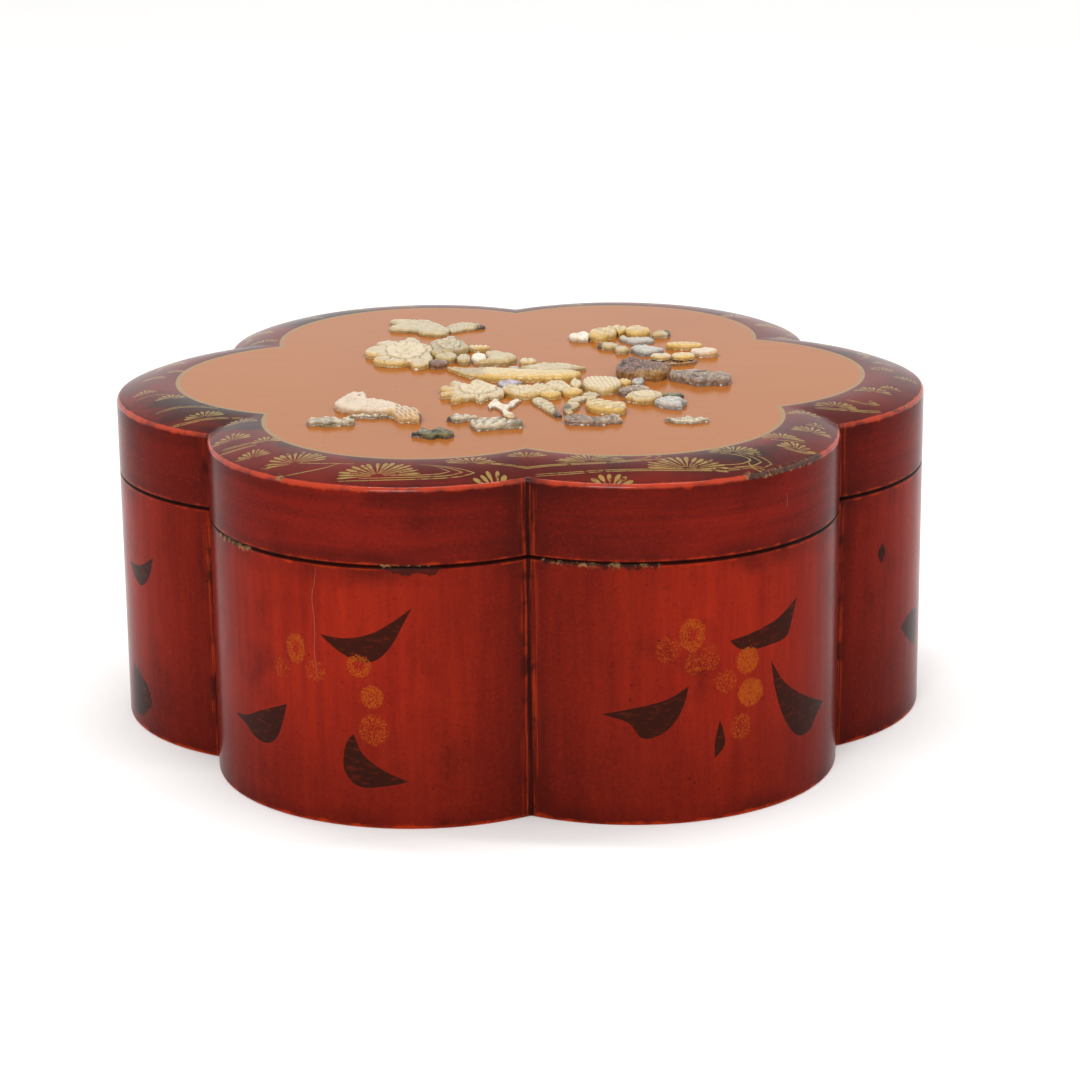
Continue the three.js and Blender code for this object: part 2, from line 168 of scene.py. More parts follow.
def hex_grid(low, high, pitch):
    rows = np.arange(low[1], high[1], pitch * math.sqrt(0.75))
    columns = np.arange(low[0], high[0], pitch)
    grid = [(x + pitch / 2 * (i % 2), y) for i, y in enumerate(rows) for x in columns]
    return np.array(grid).reshape(-1, 2)


def ripples(x, y, pitch, seed):
    """Smooth irregular waves between about -1 and 1, one hump every `pitch` or so."""
    random = np.random.default_rng(seed)
    total = 0
    for _ in range(7):
        turn, phase = random.uniform(0, 2 * math.pi, 2)
        size = 2 * math.pi / (pitch * random.uniform(0.7, 1.8))
        total = total + np.sin(size * (x * math.cos(turn) + y * math.sin(turn)) + phase)
    return total / 3.5


def fill(loops, extra):
    """Triangles inside the first loop, and for each loop which triangles lie in it."""
    points, edges = [], []
    for loop in loops:
        first, count = len(points), len(loop)
        edges += [(first + i, first + (i + 1) % count) for i in range(count)]
        points += [Vector(p) for p in loop]
    points += [Vector(p) for p in extra]
    made, _, triangles, *_ = delaunay_2d_cdt(points, edges, [], 0, 1e-5)
    made, triangles = np.array(made), np.array(triangles)
    middles = made[triangles].mean(1)
    marks = np.zeros((len(loops), len(triangles)), bool)
    for row, loop in zip(marks, map(np.asarray, loops)):
        near = np.all((middles > loop.min(0)) & (middles < loop.max(0)), axis=1)
        row[near] = inside(middles[near], loop)
    used, corners = np.unique(triangles[marks[0]], return_inverse=True)
    return made[used], corners.reshape(-1, 3), marks[:, marks[0]]


def patch(points, normals, triangles, values, marks=None, material=0):
    """Points with normals, their triangles, a value per point and a mark per triangle."""
    return {"points": points, "normals": normals, "triangles": triangles,
            "values": values, "marks": marks or {}, "material": material}


def make_piece(name, patches, materials, replaced):
    """One welded mesh that stands for a CAD node."""
    offsets = np.cumsum([0] + [len(p["points"]) for p in patches[:-1]])
    points = np.concatenate([p["points"] for p in patches])
    corners = np.concatenate([p["triangles"] + o for p, o in zip(patches, offsets)])
    _, kept, welded = np.unique(
        np.round(points, 3), axis=0, return_index=True, return_inverse=True)
    triangles = welded.ravel()[corners]
    whole = ((triangles[:, 0] != triangles[:, 1]) & (triangles[:, 1] != triangles[:, 2])
             & (triangles[:, 2] != triangles[:, 0]))
    corners, triangles = corners[whole], triangles[whole]

    mesh = bpy.data.meshes.new(name)
    mesh.from_pydata((points[kept] * MILLIMETRE).tolist(), [], triangles.tolist())
    mesh.shade_smooth()
    for key in sorted({key for p in patches for key in p["values"]}):
        value = np.concatenate([
            p["values"].get(key, np.zeros(len(p["points"]))) for p in patches])
        layer = mesh.attributes.new(key, "FLOAT", "CORNER")
        layer.data.foreach_set("value", value[corners].ravel().astype(np.float32))
    for key in sorted({key for p in patches for key in p["marks"]}):
        mark = np.concatenate([
            p["marks"].get(key, np.zeros(len(p["triangles"]))) for p in patches])[whole]
        layer = mesh.attributes.new(key, "FLOAT", "FACE")
        layer.data.foreach_set("value", mark.astype(np.float32))
    if patches[0]["normals"] is None:
        mesh.set_sharp_from_angle(angle=math.radians(55))
    else:
        normals = np.concatenate([p["normals"] for p in patches])
        mesh.normals_split_custom_set(normals[corners].reshape(-1, 3).tolist())
    for material in materials:
        mesh.materials.append(material)
    chosen = np.concatenate([np.full(len(p["triangles"]), p["material"]) for p in patches])[whole]
    mesh.polygons.foreach_set("material_index", chosen.astype(np.int32))

    piece = bpy.data.objects.new(name, mesh)
    bpy.context.scene.collection.objects.link(piece)
    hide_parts(replaced)
    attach(piece, "root")
    return piece


def wall_curve(turn):
    """Centre, outward angle and signed radius of the wall at arc length `turn` round the box."""
    lobe = np.round(turn / (2 * HALF_LOBE))
    along = turn - lobe * 2 * HALF_LOBE
    side = np.where(along < 0, -1, 1)
    beyond = np.maximum(np.abs(along) - REACH * LOBE_RADIUS, 0)
    in_fillet = beyond > 1e-9
    tilt = np.minimum(np.abs(along) / LOBE_RADIUS, REACH) - beyond / VALLEY_FILLET
    heading = lobe * 2 * HALF_SECTOR + side * tilt
    ray = (lobe * 2 + side * in_fillet) * HALF_SECTOR
    distance = np.where(in_fillet, FILLET_CENTRE, LOBE_CENTRE)
    centre = np.stack([distance * np.cos(ray), distance * np.sin(ray)], 1)
    return centre, heading, np.where(in_fillet, -VALLEY_FILLET, LOBE_RADIUS)


def wall_points(turn, inset):
    centre, heading, radius = wall_curve(turn)
    outward = np.stack([np.cos(heading), np.sin(heading)], 1)
    return centre + outward * np.broadcast_to(radius - inset, turn.shape)[:, None]


def lobe_turns():
    """Arc lengths at the columns of one lobe's wall, from valley to valley."""
    arc = REACH * LOBE_RADIUS
    return np.concatenate([
        np.linspace(-HALF_LOBE, -arc, 3)[:-1], np.linspace(-arc, arc, 61),
        np.linspace(arc, HALF_LOBE, 3)[1:]])


COLUMNS = np.concatenate([lobe_turns()[:-1] + 2 * HALF_LOBE * i for i in range(LOBES)])


def shoulder_share(x, y):
    """0 at the panel's edge and 1 at the lid's outer edge, blended across the valleys."""
    shares = []
    for lobe in range(LOBES):
        axis = lobe * 2 * HALF_SECTOR
        along = x * math.cos(axis) + y * math.sin(axis)
        centre_step = LOBE_CENTRE - PANEL_CENTRE
        radius_step = LOBE_RADIUS - PANEL_RADIUS
        square = centre_step ** 2 - radius_step ** 2
        linear = 2 * (PANEL_CENTRE * centre_step - along * centre_step
                      - PANEL_RADIUS * radius_step)
        rest = x * x + y * y - 2 * along * PANEL_CENTRE + PANEL_CENTRE ** 2 - PANEL_RADIUS ** 2
        root = np.sqrt(np.maximum(linear ** 2 - 4 * square * rest, 0))
        shares.append((-linear - root) / (2 * square))
    softness = 50
    return -np.log(sum(np.exp(-softness * np.clip(share, -3, 3)) for share in shares)) / softness


def lid_height(x, y):
    share = np.maximum(shoulder_share(x, y), 0)
    return PANEL_HEIGHT - (PANEL_HEIGHT - EDGE_HEIGHT) * share ** SHOULDER_POWER


def lid_normals(x, y):
    step = 0.05
    slope_x = (lid_height(x + step, y) - lid_height(x - step, y)) / (2 * step)
    slope_y = (lid_height(x, y + step) - lid_height(x, y - step)) / (2 * step)
    normals = np.stack([-slope_x, -slope_y, np.ones_like(slope_x)], 1)
    return normals / np.linalg.norm(normals, axis=1)[:, None]


# Worn places on the walls: lobe, arc lengths, heights, and how pale or dark it is there.
SCARS = [
    (4, (-56, -28), (105.0, 106.3), 0.92, 0.6),
    (4, (33, 53), (103.6, 106.3), 0.0, 1.0),
    (4, (30, 52), (106.4, 107.2), 0.86, 0.6),
    (5, (-84, -36), (105.0, 106.3), 0.74, 0.75),
    (5, (-2, 44), (135.6, 138.0), 0.84, 0.7),
    (5, (20, 60), (105.4, 106.6), 0.4, 0.7),
    (4, (-13.2, -11.4), (136.2, 138.4), 1.0, 0.0),
    (0, (-60, -20), (135.6, 138.0), 0.4, 0.3),
    (2, (-30, 10), (104.4, 106.3), 0.7, 0.2),
    (1, (5, 30), (135.0, 138.4), 0.5, 0.6),
    (3, (-20, 0), (106.3, 108.0), 0.5, 0.4),
]


def wear_values(turn, z):
    """How far the nearest valley and arris are, and how scarred each place on the wall is."""
    lobe = np.round(turn / (2 * HALF_LOBE))
    along = turn - lobe * 2 * HALF_LOBE
    arris = np.minimum.reduce([np.abs(z), np.abs(z - SEAM_HEIGHT), np.abs(z - EDGE_HEIGHT)])
    pale, dark = np.zeros_like(turn), np.zeros_like(turn)
    for where, (left, right), (low, high), paleness, darkness in SCARS:
        off = np.maximum.reduce([left - along, along - right, 3 * (low - z), 3 * (z - high)])
        amount = np.clip(0.5 - off / 8, 0, 1) * (lobe % LOBES == where)
        pale = np.maximum(pale, amount * paleness)
        dark = np.maximum(dark, amount * darkness)
    return {
        "valley": np.minimum((HALF_LOBE - np.abs(along)) / WEAR_REACH, 1),
        "arris": np.minimum(arris / WEAR_REACH, 1),
        "seam": np.clip(1 - np.abs(z - SEAM_HEIGHT) / 3, 0, 1),
        "side": np.abs(along) / HALF_LOBE,
        "pale": pale, "dark": dark,
        "u": turn / 100, "v": z / 100,
    }


def sweep(profile, material=0):
    """A band round the box. A profile point is inset, height and its normal's rise in degrees."""
    count, rows = len(COLUMNS), len(profile)
    _, heading, _ = wall_curve(COLUMNS)
    points, normals, values = [], [], []
    for inset, height, rise in profile:
        place = wall_points(COLUMNS, inset)
        z = np.broadcast_to(height, COLUMNS.shape)
        points.append(np.column_stack([place, z]))
        tilt = np.broadcast_to(np.radians(rise), COLUMNS.shape)
        normals.append(np.stack([np.cos(tilt) * np.cos(heading), np.cos(tilt) * np.sin(heading),
                                 np.sin(tilt)], 1))
        values.append(wear_values(COLUMNS, z))
    triangles = []
    for row in range(rows - 1):
        for i in range(count):
            a, b = row * count + i, row * count + (i + 1) % count
            triangles += [(a, b, b + count), (a, b + count, a + count)]
    merged = {key: np.concatenate([v[key] for v in values]) for key in values[0]}
    return patch(np.concatenate(points), np.concatenate(normals), np.array(triangles), merged,
                 material=material)


def arc_profile(inset, height, start, end, radius=ARRIS, steps=4):
    """Profile of a rounded arris whose normal turns from rise `start` to `end`."""
    return [(inset + radius * (1 - math.cos(math.radians(rise))),
             height + radius * math.sin(math.radians(rise)), rise)
            for rise in np.linspace(start, end, steps + 1)]


def cap(inset, height, facing):
    """Flat disc across the box at one height, facing up (1) or down (-1)."""
    ring = wall_points(COLUMNS, inset)
    count = len(ring)
    points = np.column_stack([np.vstack([ring, [[0, 0]]]), np.full(count + 1, height)])
    normals = np.tile([0, 0, facing], (count + 1, 1)).astype(float)
    triangles = np.array([(i, (i + 1) % count, count) for i in range(count)])
    values = {"valley": np.ones(count + 1), "arris": np.ones(count + 1),
              "u": points[:, 0] / 100, "v": points[:, 1] / 100}
    return patch(points, normals, triangles[:, ::facing], values)


# Painted leaves on the walls: lobe, and arc length and height of each outline point.
LEAVES = [
    (4, [(5.2, 77.5), (15.8, 77), (25.8, 79.4), (34, 84), (42.3, 90.2), (38.5, 83), (34.3, 75.3),
         (28.7, 69.3), (23.5, 67.8), (14, 71)]),
    (4, [(-45.4, 34.3), (-36, 36), (-27, 40), (-11.4, 46.3), (-13.8, 38.3), (-17.5, 31),
         (-22.7, 27.6), (-31, 28.4), (-37, 32)]),
    (4, [(18.4, 38.3), (21.4, 31), (28.5, 25), (39.6, 19.6), (30.3, 17.6), (19.5, 17.2),
         (14.4, 22.5), (14.3, 31), (16, 36)]),
    (5, [(-8.9, 72.5), (3, 74.6), (14.2, 77.6), (25.4, 83.6), (22, 74), (20, 69.6), (10.1, 67.6),
         (-1, 67.6), (-5, 69)]),
    (5, [(10.7, 61.2), (18, 51), (28, 43.5), (47.8, 34), (40, 29.2), (37, 26.2), (28, 25.6),
         (20, 33), (14, 46)]),
    (5, [(-59.6, 45.6), (-44.9, 48.8), (-34.1, 51.5), (-25.8, 56.2), (-28, 48), (-33, 40),
         (-40, 36), (-44, 36), (-49, 42)]),
    (5, [(-12.9, 41), (-11.3, 36), (-10.7, 30.7), (-12, 28.4), (-15, 25.6), (-15, 32)]),
    (3, [(30, 72), (41, 73), (54, 79), (50, 70), (42.6, 64.6), (35, 67)]),
    (3, [(29, 27), (37, 24), (44.4, 21), (48.3, 13.6), (38, 6), (26, 4.6), (23, 14)]),
    (3, [(-40, 50), (-28, 54), (-14, 63), (-18, 50), (-26, 43), (-35, 45)]),
    (0, [(-66, 79), (-63.4, 83), (-61, 79), (-63.5, 74)]),
    (0, [(-47, 42), (-36, 46), (-22.6, 44), (-24, 35), (-30, 29), (-39, 35)]),
    (0, [(14, 72), (26, 70), (40, 63), (36, 74), (27, 79)]),
    (1, [(-42, 70), (-28, 71), (-10, 80), (-16, 68), (-24, 62), (-34, 64)]),
    (1, [(6, 52), (13, 42), (28, 31), (16, 27), (7, 30), (3, 40)]),
    (2, [(-22, 44), (-10, 46), (6, 55), (2, 43), (-6, 36), (-15, 37)]),
    (2, [(16, 74), (24, 63), (38, 55), (29, 52), (19, 55), (13, 64)]),
]

# Painted berries: lobe, middle, half sizes, strength, and 1 where the middle is left bare.
BERRIES = [
    (4, (-6, 70.2), (4.6, 6.4), 1.0, 0.5), (4, (-13.4, 61.2), (4.4, 4.8), 0.72, 0),
    (4, (2.5, 62.2), (4.8, 4.6), 0.76, 0.2), (4, (21.1, 66.2), (5.2, 4.8), 1.0, 0.8),
    (4, (26, 54), (4.8, 4.9), 1.0, 0.2), (4, (26.3, 40.6), (6.2, 6.6), 0.85, 0.3),
    (5, (-24.3, 76.8), (5.4, 7.0), 1.0, 0.7), (5, (-34.1, 71.5), (5.0, 5.6), 0.74, 0.3),
    (5, (-17.2, 67), (4.6, 5.6), 0.7, 0), (5, (-23.6, 65), (4.2, 4.6), 0.76, 0),
    (5, (-0.7, 63.4), (5.4, 5.6), 1.1, 0), (5, (-10.5, 56.3), (5.4, 5.0), 0.76, 0.2),
    (5, (0.9, 50.1), (6.0, 5.9), 1.15, 0), (5, (-3.6, 36.8), (4.8, 5.8), 0.8, 0.2),
    (0, (-4, 60), (5, 5.4), 0.9, 0.3), (0, (6, 49), (5, 5), 0.8, 0),
    (0, (2, 37), (5.4, 5.6), 0.7, 0),
    (3, (2, 58), (5, 5.6), 0.9, 0.5), (3, (12, 48), (5, 5), 0.8, 0), (3, (9, 36), (5, 5), 0.6, 0),
    (1, (-6, 58), (5, 5), 0.9, 0.4), (1, (4, 63), (5, 5.6), 0.7, 0),
    (1, (-2, 45), (5.4, 5), 0.8, 0),
    (2, (4, 64), (5, 5), 0.9, 0.4), (2, (-4, 69), (4.6, 5), 0.6, 0),
    (2, (12, 46), (5.4, 5), 0.8, 0),
]

# Fine cracks and scratches: lobe and path.
CRACKS = [
    (4, [(4.4, 104.5), (3.4, 98), (2.2, 92), (2.9, 84), (3, 77.2), (2.5, 70), (3.3, 63),
         (2.8, 58.5)]),
    (5, [(18.4, 127), (18.9, 124), (18.6, 121.2)]),
    (1, [(20, 104.5), (20.8, 95), (19.6, 88), (20.2, 80)]),
]


def berry_values(lobe, along, z):
    """Strength of the stippled berries at each place on a wall."""
    strength = np.zeros_like(along)
    for where, (middle, height), (wide, tall), amount, bare in BERRIES:
        if where == lobe:
            away = np.hypot((along - middle) / wide, (z - height) / tall)
            ring = np.clip((1.18 - away) / 0.3, 0, 1) * (1 - bare * np.clip(1 - away / 0.55, 0, 1))
            strength = np.maximum(strength, amount * ring)
    return strength


def painted_wall(lobe, low, high):
    """The outer wall of one lobe between two heights, cut along the edges of its paintings."""
    turns = lobe_turns()
    edge = [(t, low) for t in turns] + [(t, high) for t in turns[::-1]]
    leaves = [smooth_loop(points, 0.9, 66) for where, points in LEAVES if where == lobe]
    cracks = [ribbon(path, 0.22) for where, path in CRACKS if where == lobe]
    shapes = [shape for shape in leaves + cracks if low < shape[:, 1].min() < high]
    is_leaf = [any(shape is leaf for leaf in leaves) for shape in shapes]
    rows = np.arange(low + 1.5, high - 1, 3)
    extra = [(t, z) for t in turns[1:-1] for z in rows]
    for where, (middle, height), (wide, tall), _, _ in BERRIES:
        if where == lobe and low < height < high:
            for ring in (0.3, 0.6, 0.9, 1.15):
                for step in np.linspace(0, 2 * math.pi, 18, endpoint=False):
                    extra.append((middle + wide * ring * math.cos(step),
                                  height + tall * ring * math.sin(step)))
    flat, triangles, marks = fill([edge, *shapes], extra)
    turn = flat[:, 0] + lobe * 2 * HALF_LOBE
    _, heading, _ = wall_curve(turn)
    points = np.column_stack([wall_points(turn, 0), flat[:, 1]])
    normals = np.stack([np.cos(heading), np.sin(heading), np.zeros_like(heading)], 1)
    values = wear_values(turn, flat[:, 1])
    values["berry"] = berry_values(lobe, flat[:, 0], flat[:, 1])
    painted = {"leaf": np.zeros(len(triangles)), "crack": np.zeros(len(triangles))}
    for shape_is_leaf, mark in zip(is_leaf, marks[1:]):
        key = "leaf" if shape_is_leaf else "crack"
        painted[key] = np.maximum(painted[key], mark)
    return patch(points, normals, triangles, values, painted)


def box_body_patches():
    lip_inset = LID_WALL + LIP_GAP
    lip_top = SEAM_HEIGHT + LIP_HEIGHT
    soft = 0.4
    return [
        *[painted_wall(lobe, ARRIS, SEAM_HEIGHT - ARRIS) for lobe in range(LOBES)],
        sweep(arc_profile(0, ARRIS, -90, 0)),
        cap(ARRIS, 0, -1),
        sweep(arc_profile(0, SEAM_HEIGHT - ARRIS, 0, 90)),
        sweep([(ARRIS, SEAM_HEIGHT, 90), (lip_inset, SEAM_HEIGHT, 90)]),
        sweep([(lip_inset, SEAM_HEIGHT, 0), (lip_inset, lip_top - soft, 0)]),
        sweep(arc_profile(lip_inset, lip_top - soft, 0, 90, soft)),
        sweep([(lip_inset + soft, lip_top, 90), (WALL, lip_top, 90)]),
        sweep([(WALL, lip_top, 180), (WALL, FLOOR_HEIGHT, 180)]),
        cap(WALL, FLOOR_HEIGHT, 1),
    ]


# Half chrysanthemums in gold on the lid's border: middle of the base, half width, height, petals.
FANS = [
    (-89, -132, 13, 12, 13), (-106, -119, 7, 8, 9), (-115.5, -95, 8, 9.5, 9),
    (-101.5, -104, 6.5, 7.5, 8), (-57, -149.5, 17, 11.5, 15), (-21, -140, 11, 7.5, 11),
    (-11.5, -157.5, 10.5, 13, 9), (0, -131.5, 8, 6, 9), (24, -140, 13.5, 9.5, 15),
    (61, -147.5, 17, 11, 15), (80, -130.5, 11.5, 9, 13), (31, -160, 11, 10, 9),
    (105, -119.5, 7.5, 8, 8), (100, -110, 9.5, 7.5, 11), (113, -97.5, 9, 8, 10),
    (116, -88.5, 4, 6, 5), (-113.5, -71.5, 7.5, 6, 9), (-129, -59, 9, 6.5, 10),
    (-145, -31, 6.5, 6.5, 8), (-157, -18, 5, 6, 7), (-155, 5, 5.5, 6, 8), (-146, 14, 5, 5, 7),
    (145, -36, 8.5, 7, 10), (153, -29, 4.5, 5, 6), (127, -59, 9.5, 6.5, 11),
    (113, -72.5, 8, 6.5, 9), (162, -10, 5.5, 6, 8), (153, 1, 5.5, 6, 8), (155, 14, 5, 5, 7),
    (141, 48, 10, 8, 11), (121, 66, 8, 7, 9), (116, 88, 10, 9, 11), (98, 105, 8, 8, 9),
    (104, 121, 8, 8, 9), (72, 136, 12, 9, 13), (46, 146, 9, 7, 10), (22, 135, 10, 8, 11),
    (-2, 131, 8, 7, 9), (-26, 143, 13, 9, 13), (-55, 137, 10, 8, 11), (-78, 134, 9, 8, 10),
    (-98, 116, 11, 9, 12), (-117, 90, 9, 8, 10), (-112, 70, 7, 6, 8), (-136, 52, 10, 8, 11),
    (-150, 32, 7, 7, 9), (151, 31, 6, 6, 8),
]

# Gold stream lines on the border, each drawn once or as parallel strokes this far apart.
STREAMS = [
    ([(-88, -132), (-80, -134.4), (-72, -136.4), (-66, -138)], 1, 0),
    ([(-72, -136.6), (-77, -139), (-86, -140), (-95, -139.6)], 1, 0),
    ([(-41, -141), (-33, -142.6), (-26, -144.6), (-20, -147.2), (-25, -150), (-34, -152),
      (-47, -152.6), (-62, -151.6), (-72, -150)], 1, 0),
    ([(-36, -142.8), (-30, -144.4), (-24.6, -147.2), (-29, -149.6), (-38, -151), (-52, -151),
      (-64, -150)], 1, 0),
    ([(-34, -144), (-29.4, -147), (-33, -148.8), (-41, -149.8), (-52, -149.6)], 1, 0),
    ([(-19, -139.4), (-8, -139.6), (4, -140.4), (14, -141.4), (30, -142), (44, -140.4),
      (56, -138)], 2, 0.9),
    ([(34, -132.6), (42, -132.8), (47.6, -135), (44, -138.2), (36, -140)], 1, 0),
    ([(40, -131), (47, -131.8), (51.6, -134.8), (49, -138)], 1, 0),
    ([(3, -146), (14, -148), (28, -148.8), (44, -149), (60, -148.4), (72, -146.8), (80, -144.4),
      (86, -141.4), (91, -141)], 2, 1.1),
    ([(70, -131), (78, -131.6), (84.6, -134), (86, -136), (82, -139.6), (74, -142.4)], 1, 0),
    ([(80, -130.6), (87, -133), (90, -136), (86.6, -139.6), (79, -142.8)], 1, 0),
    ([(84, -130), (91, -132.6), (94, -136), (91, -139.4)], 1, 0),
    ([(86, -134), (85, -138), (87, -142), (91, -143.4), (95, -140)], 1, 0),
    ([(-119, -103), (-113, -103.6), (-106, -103.2)], 2, 1.2),
    ([(-120, -106.6), (-113, -107.2), (-105, -106.4)], 2, 1.0),
    ([(-150, -46), (-142, -44.4), (-132, -46.4), (-124, -50)], 2, 1.3),
    ([(-146, -61), (-137, -61.6), (-126, -61.8), (-113, -65)], 2, 1.1),
    ([(-160, -24), (-155, -22), (-150, -22.6), (-146, -25)], 1, 0),
    ([(118, -62), (128, -61.4), (139, -59), (146, -56)], 2, 1.1),
    ([(132, -50), (139, -52), (146, -50), (142, -47)], 2, 1.2),
    ([(100, -120.6), (108, -121), (113, -118)], 2, 1.0),
    ([(92, -111.6), (100, -112), (110, -110.4)], 1, 0),
    ([(146, 20), (150, 26), (149, 36), (142, 44)], 2, 1.2),
    ([(120, 78), (124, 84), (122, 94), (114, 104)], 2, 1.2),
    ([(84, 130), (70, 141), (56, 148), (40, 150)], 2, 1.2),
    ([(12, 137), (0, 137), (-12, 139), (-22, 147), (-40, 151)], 2, 1.2),
    ([(-66, 132), (-76, 140), (-88, 132), (-98, 126)], 2, 1.2),
    ([(-118, 104), (-122, 94), (-120, 82), (-124, 74)], 2, 1.2),
    ([(-134, 62), (-144, 50), (-152, 40), (-156, 22)], 2, 1.2),
]


def fan_petals(x, y, half_width, height, petals, seed):
    """Teardrop petals of a half chrysanthemum whose base middle is at (x, y)."""
    random = np.random.default_rng(seed)
    shapes = []
    for i in range(petals):
        turn = math.pi * (i + 0.5) / petals + random.normal(0, 0.02)
        reach = random.uniform(0.9, 1.04)
        tip = np.array([half_width * math.cos(turn), height * math.sin(turn)]) * reach
        across = np.array([-tip[1], tip[0]]) / np.linalg.norm(tip)
        crowding = math.pi * math.hypot(half_width * math.sin(turn), height * math.cos(turn))
        wide = 0.24 * crowding / petals * random.uniform(0.85, 1.15)
        outline = []
        for share, width in ((0.16, 0.14), (0.5, 0.4), (0.8, 1), (0.95, 0.7)):
            outline.append((share, width * wide))
        left = [tip * share + across * width for share, width in outline]
        right = [tip * share - across * width for share, width in outline[::-1]]
        shapes.append(np.array([x, y]) + smooth_loop([*left, tip, *right], 0.7, 80))
    return shapes


def gold_shapes():
    shapes = []
    for seed, fan in enumerate(FANS):
        shapes += fan_petals(*fan, seed)
    for path, strokes, gap in STREAMS:
        path = np.array(path, float)
        for stroke in range(strokes):
            along = np.gradient(path, axis=0)
            along /= np.linalg.norm(along, axis=1)[:, None]
            across = np.stack([-along[:, 1], along[:, 0]], 1)
            shapes.append(ribbon(path + across * gap * stroke, 0.55))
    return shapes


def panel_loop(margin):
    """The panel's outline, moved inwards by `margin`."""
    points = []
    for turn in COLUMNS:
        lobe = round(turn / (2 * HALF_LOBE))
        share = (turn - lobe * 2 * HALF_LOBE) / HALF_LOBE
        valley = PANEL_CENTRE * math.cos(HALF_SECTOR) + math.sqrt(
            (PANEL_RADIUS - margin) ** 2 - (PANEL_CENTRE * math.sin(HALF_SECTOR)) ** 2)
        reach = math.atan2(valley * math.sin(HALF_SECTOR),
                           valley * math.cos(HALF_SECTOR) - PANEL_CENTRE)
        axis = lobe * 2 * HALF_SECTOR
        angle = axis + share * reach
        points.append((PANEL_CENTRE * math.cos(axis) + (PANEL_RADIUS - margin) * math.cos(angle),
                       PANEL_CENTRE * math.sin(axis) + (PANEL_RADIUS - margin) * math.sin(angle)))
    return np.array(points)


# Spacing of the panel's points, closer round the onlays, and how far the painted shade round the
# onlays reaches.
PANEL_GRID = 3.2
FOOT_SHADE_GRID = 0.8
FOOT_SHADE_GRID_REACH = 2.6
FOOT_SHADE_GRID_GAP = 0.2
FOOT_SHADE_REACH = 4.0


def lid_top(onlay_loops):
    """Panel, border and shoulder of the lid, cut along the painted shapes."""
    top_inset = LID_ARRIS * (1 - math.cos(SHOULDER_TILT))
    rim = wall_points(COLUMNS, top_inset)
    gold = gold_shapes()
    everywhere = hex_grid((-170, -160), (170, 160), PANEL_GRID)
    extra = [everywhere[inside(everywhere, wall_points(COLUMNS, 2.4))]]
    for loop in onlay_loops:
        near = hex_grid(loop.min(0) - 3, loop.max(0) + 3, FOOT_SHADE_GRID)
        away = loop_distance(near, loop)
        ringed = (away < FOOT_SHADE_GRID_REACH) & (away > FOOT_SHADE_GRID_GAP) & ~inside(near, loop)
        extra.append(near[ringed])
    flat, triangles, marks = fill(
        [rim, panel_loop(0), panel_loop(PANEL_LINE), *gold], np.concatenate(extra))
    x, y = flat[:, 0], flat[:, 1]
    # Distance to the nearest onlay, for the painted shade round their feet on the panel.
    glue = np.full(len(flat), FOOT_SHADE_REACH)
    for loop in onlay_loops:
        close = np.all((flat > loop.min(0) - FOOT_SHADE_REACH) & (flat < loop.max(0) + FOOT_SHADE_REACH),
                       axis=1)
        if close.any():
            away = np.where(inside(flat[close], loop), 0, loop_distance(flat[close], loop))
            glue[close] = np.minimum(glue[close], away)
    share = shoulder_share(x, y)
    turn = np.arctan2(y, x) / HALF_SECTOR
    from_edge = np.clip((1 - share) * BORDER_WIDTH / WEAR_REACH, 0, 1)
    scar = wear_values(
        HALF_LOBE * turn, np.where(share > 0.8, EDGE_HEIGHT + (1 - share) * 10, 120.0))
    values = {"arris": from_edge, "valley": np.ones_like(x), "pale": scar["pale"],
              "dark": scar["dark"], "glue": 1 - glue / FOOT_SHADE_REACH, "u": x / 100, "v": y / 100}
    painted = {"border": ~marks[1], "line": marks[1] & ~marks[2], "panel": marks[2],
               "gold": ~marks[1] & marks[3:].any(0)}
    points = np.column_stack([flat, lid_height(x, y)])
    return patch(points, lid_normals(x, y), triangles, values, painted, TOP_MATERIAL)


def lid_patches(onlay_loops):
    rim = wall_points(COLUMNS, LID_ARRIS * (1 - math.cos(SHOULDER_TILT)))
    rim_height = lid_height(rim[:, 0], rim[:, 1])
    arris_base = rim_height - LID_ARRIS * math.sin(SHOULDER_TILT)
    wall_top = EDGE_HEIGHT - 3
    arris = [(LID_ARRIS * (1 - math.cos(rise)), arris_base + LID_ARRIS * math.sin(rise),
              math.degrees(rise)) for rise in np.linspace(0, SHOULDER_TILT, 7)]
    return [
        lid_top(onlay_loops),
        *[painted_wall(lobe, SEAM_HEIGHT + ARRIS, wall_top) for lobe in range(LOBES)],
        sweep([(0, wall_top, 0), (0, arris_base, 0)]),
        sweep(arris, EDGE_MATERIAL),
        sweep(arc_profile(0, SEAM_HEIGHT + ARRIS, -90, 0)),
        sweep([(LID_WALL, SEAM_HEIGHT, -90), (ARRIS, SEAM_HEIGHT, -90)]),
        sweep([(LID_WALL, ROOF_HEIGHT, 180), (LID_WALL, SEAM_HEIGHT, 180)]),
        cap(LID_WALL, ROOF_HEIGHT, -1),
    ]


def grooves(angle, pitch, depth=0.3, width=0.22, wobble=0.0):
    """Parallel carved lines across the direction `angle`."""
    turn = math.radians(angle)

    def carve(x, y):
        across = x * math.cos(turn) + y * math.sin(turn) + wobble * ripples(x, y, 4, 5)
        offset = np.abs((across / pitch + 0.5) % 1 - 0.5) * pitch
        return -depth * np.exp(-(offset / width) ** 2)
    return carve


def pits(count, depth=0.25, radius=0.3, spread=20, seed=3):
    """Small drilled dots."""
    middles = np.random.default_rng(seed).uniform(-spread, spread, (count, 2))

    def carve(x, y):
        total = np.zeros_like(x)
        for mx, my in middles:
            total -= depth * np.exp(-((x - mx) ** 2 + (y - my) ** 2) / radius ** 2)
        return total
    return carve


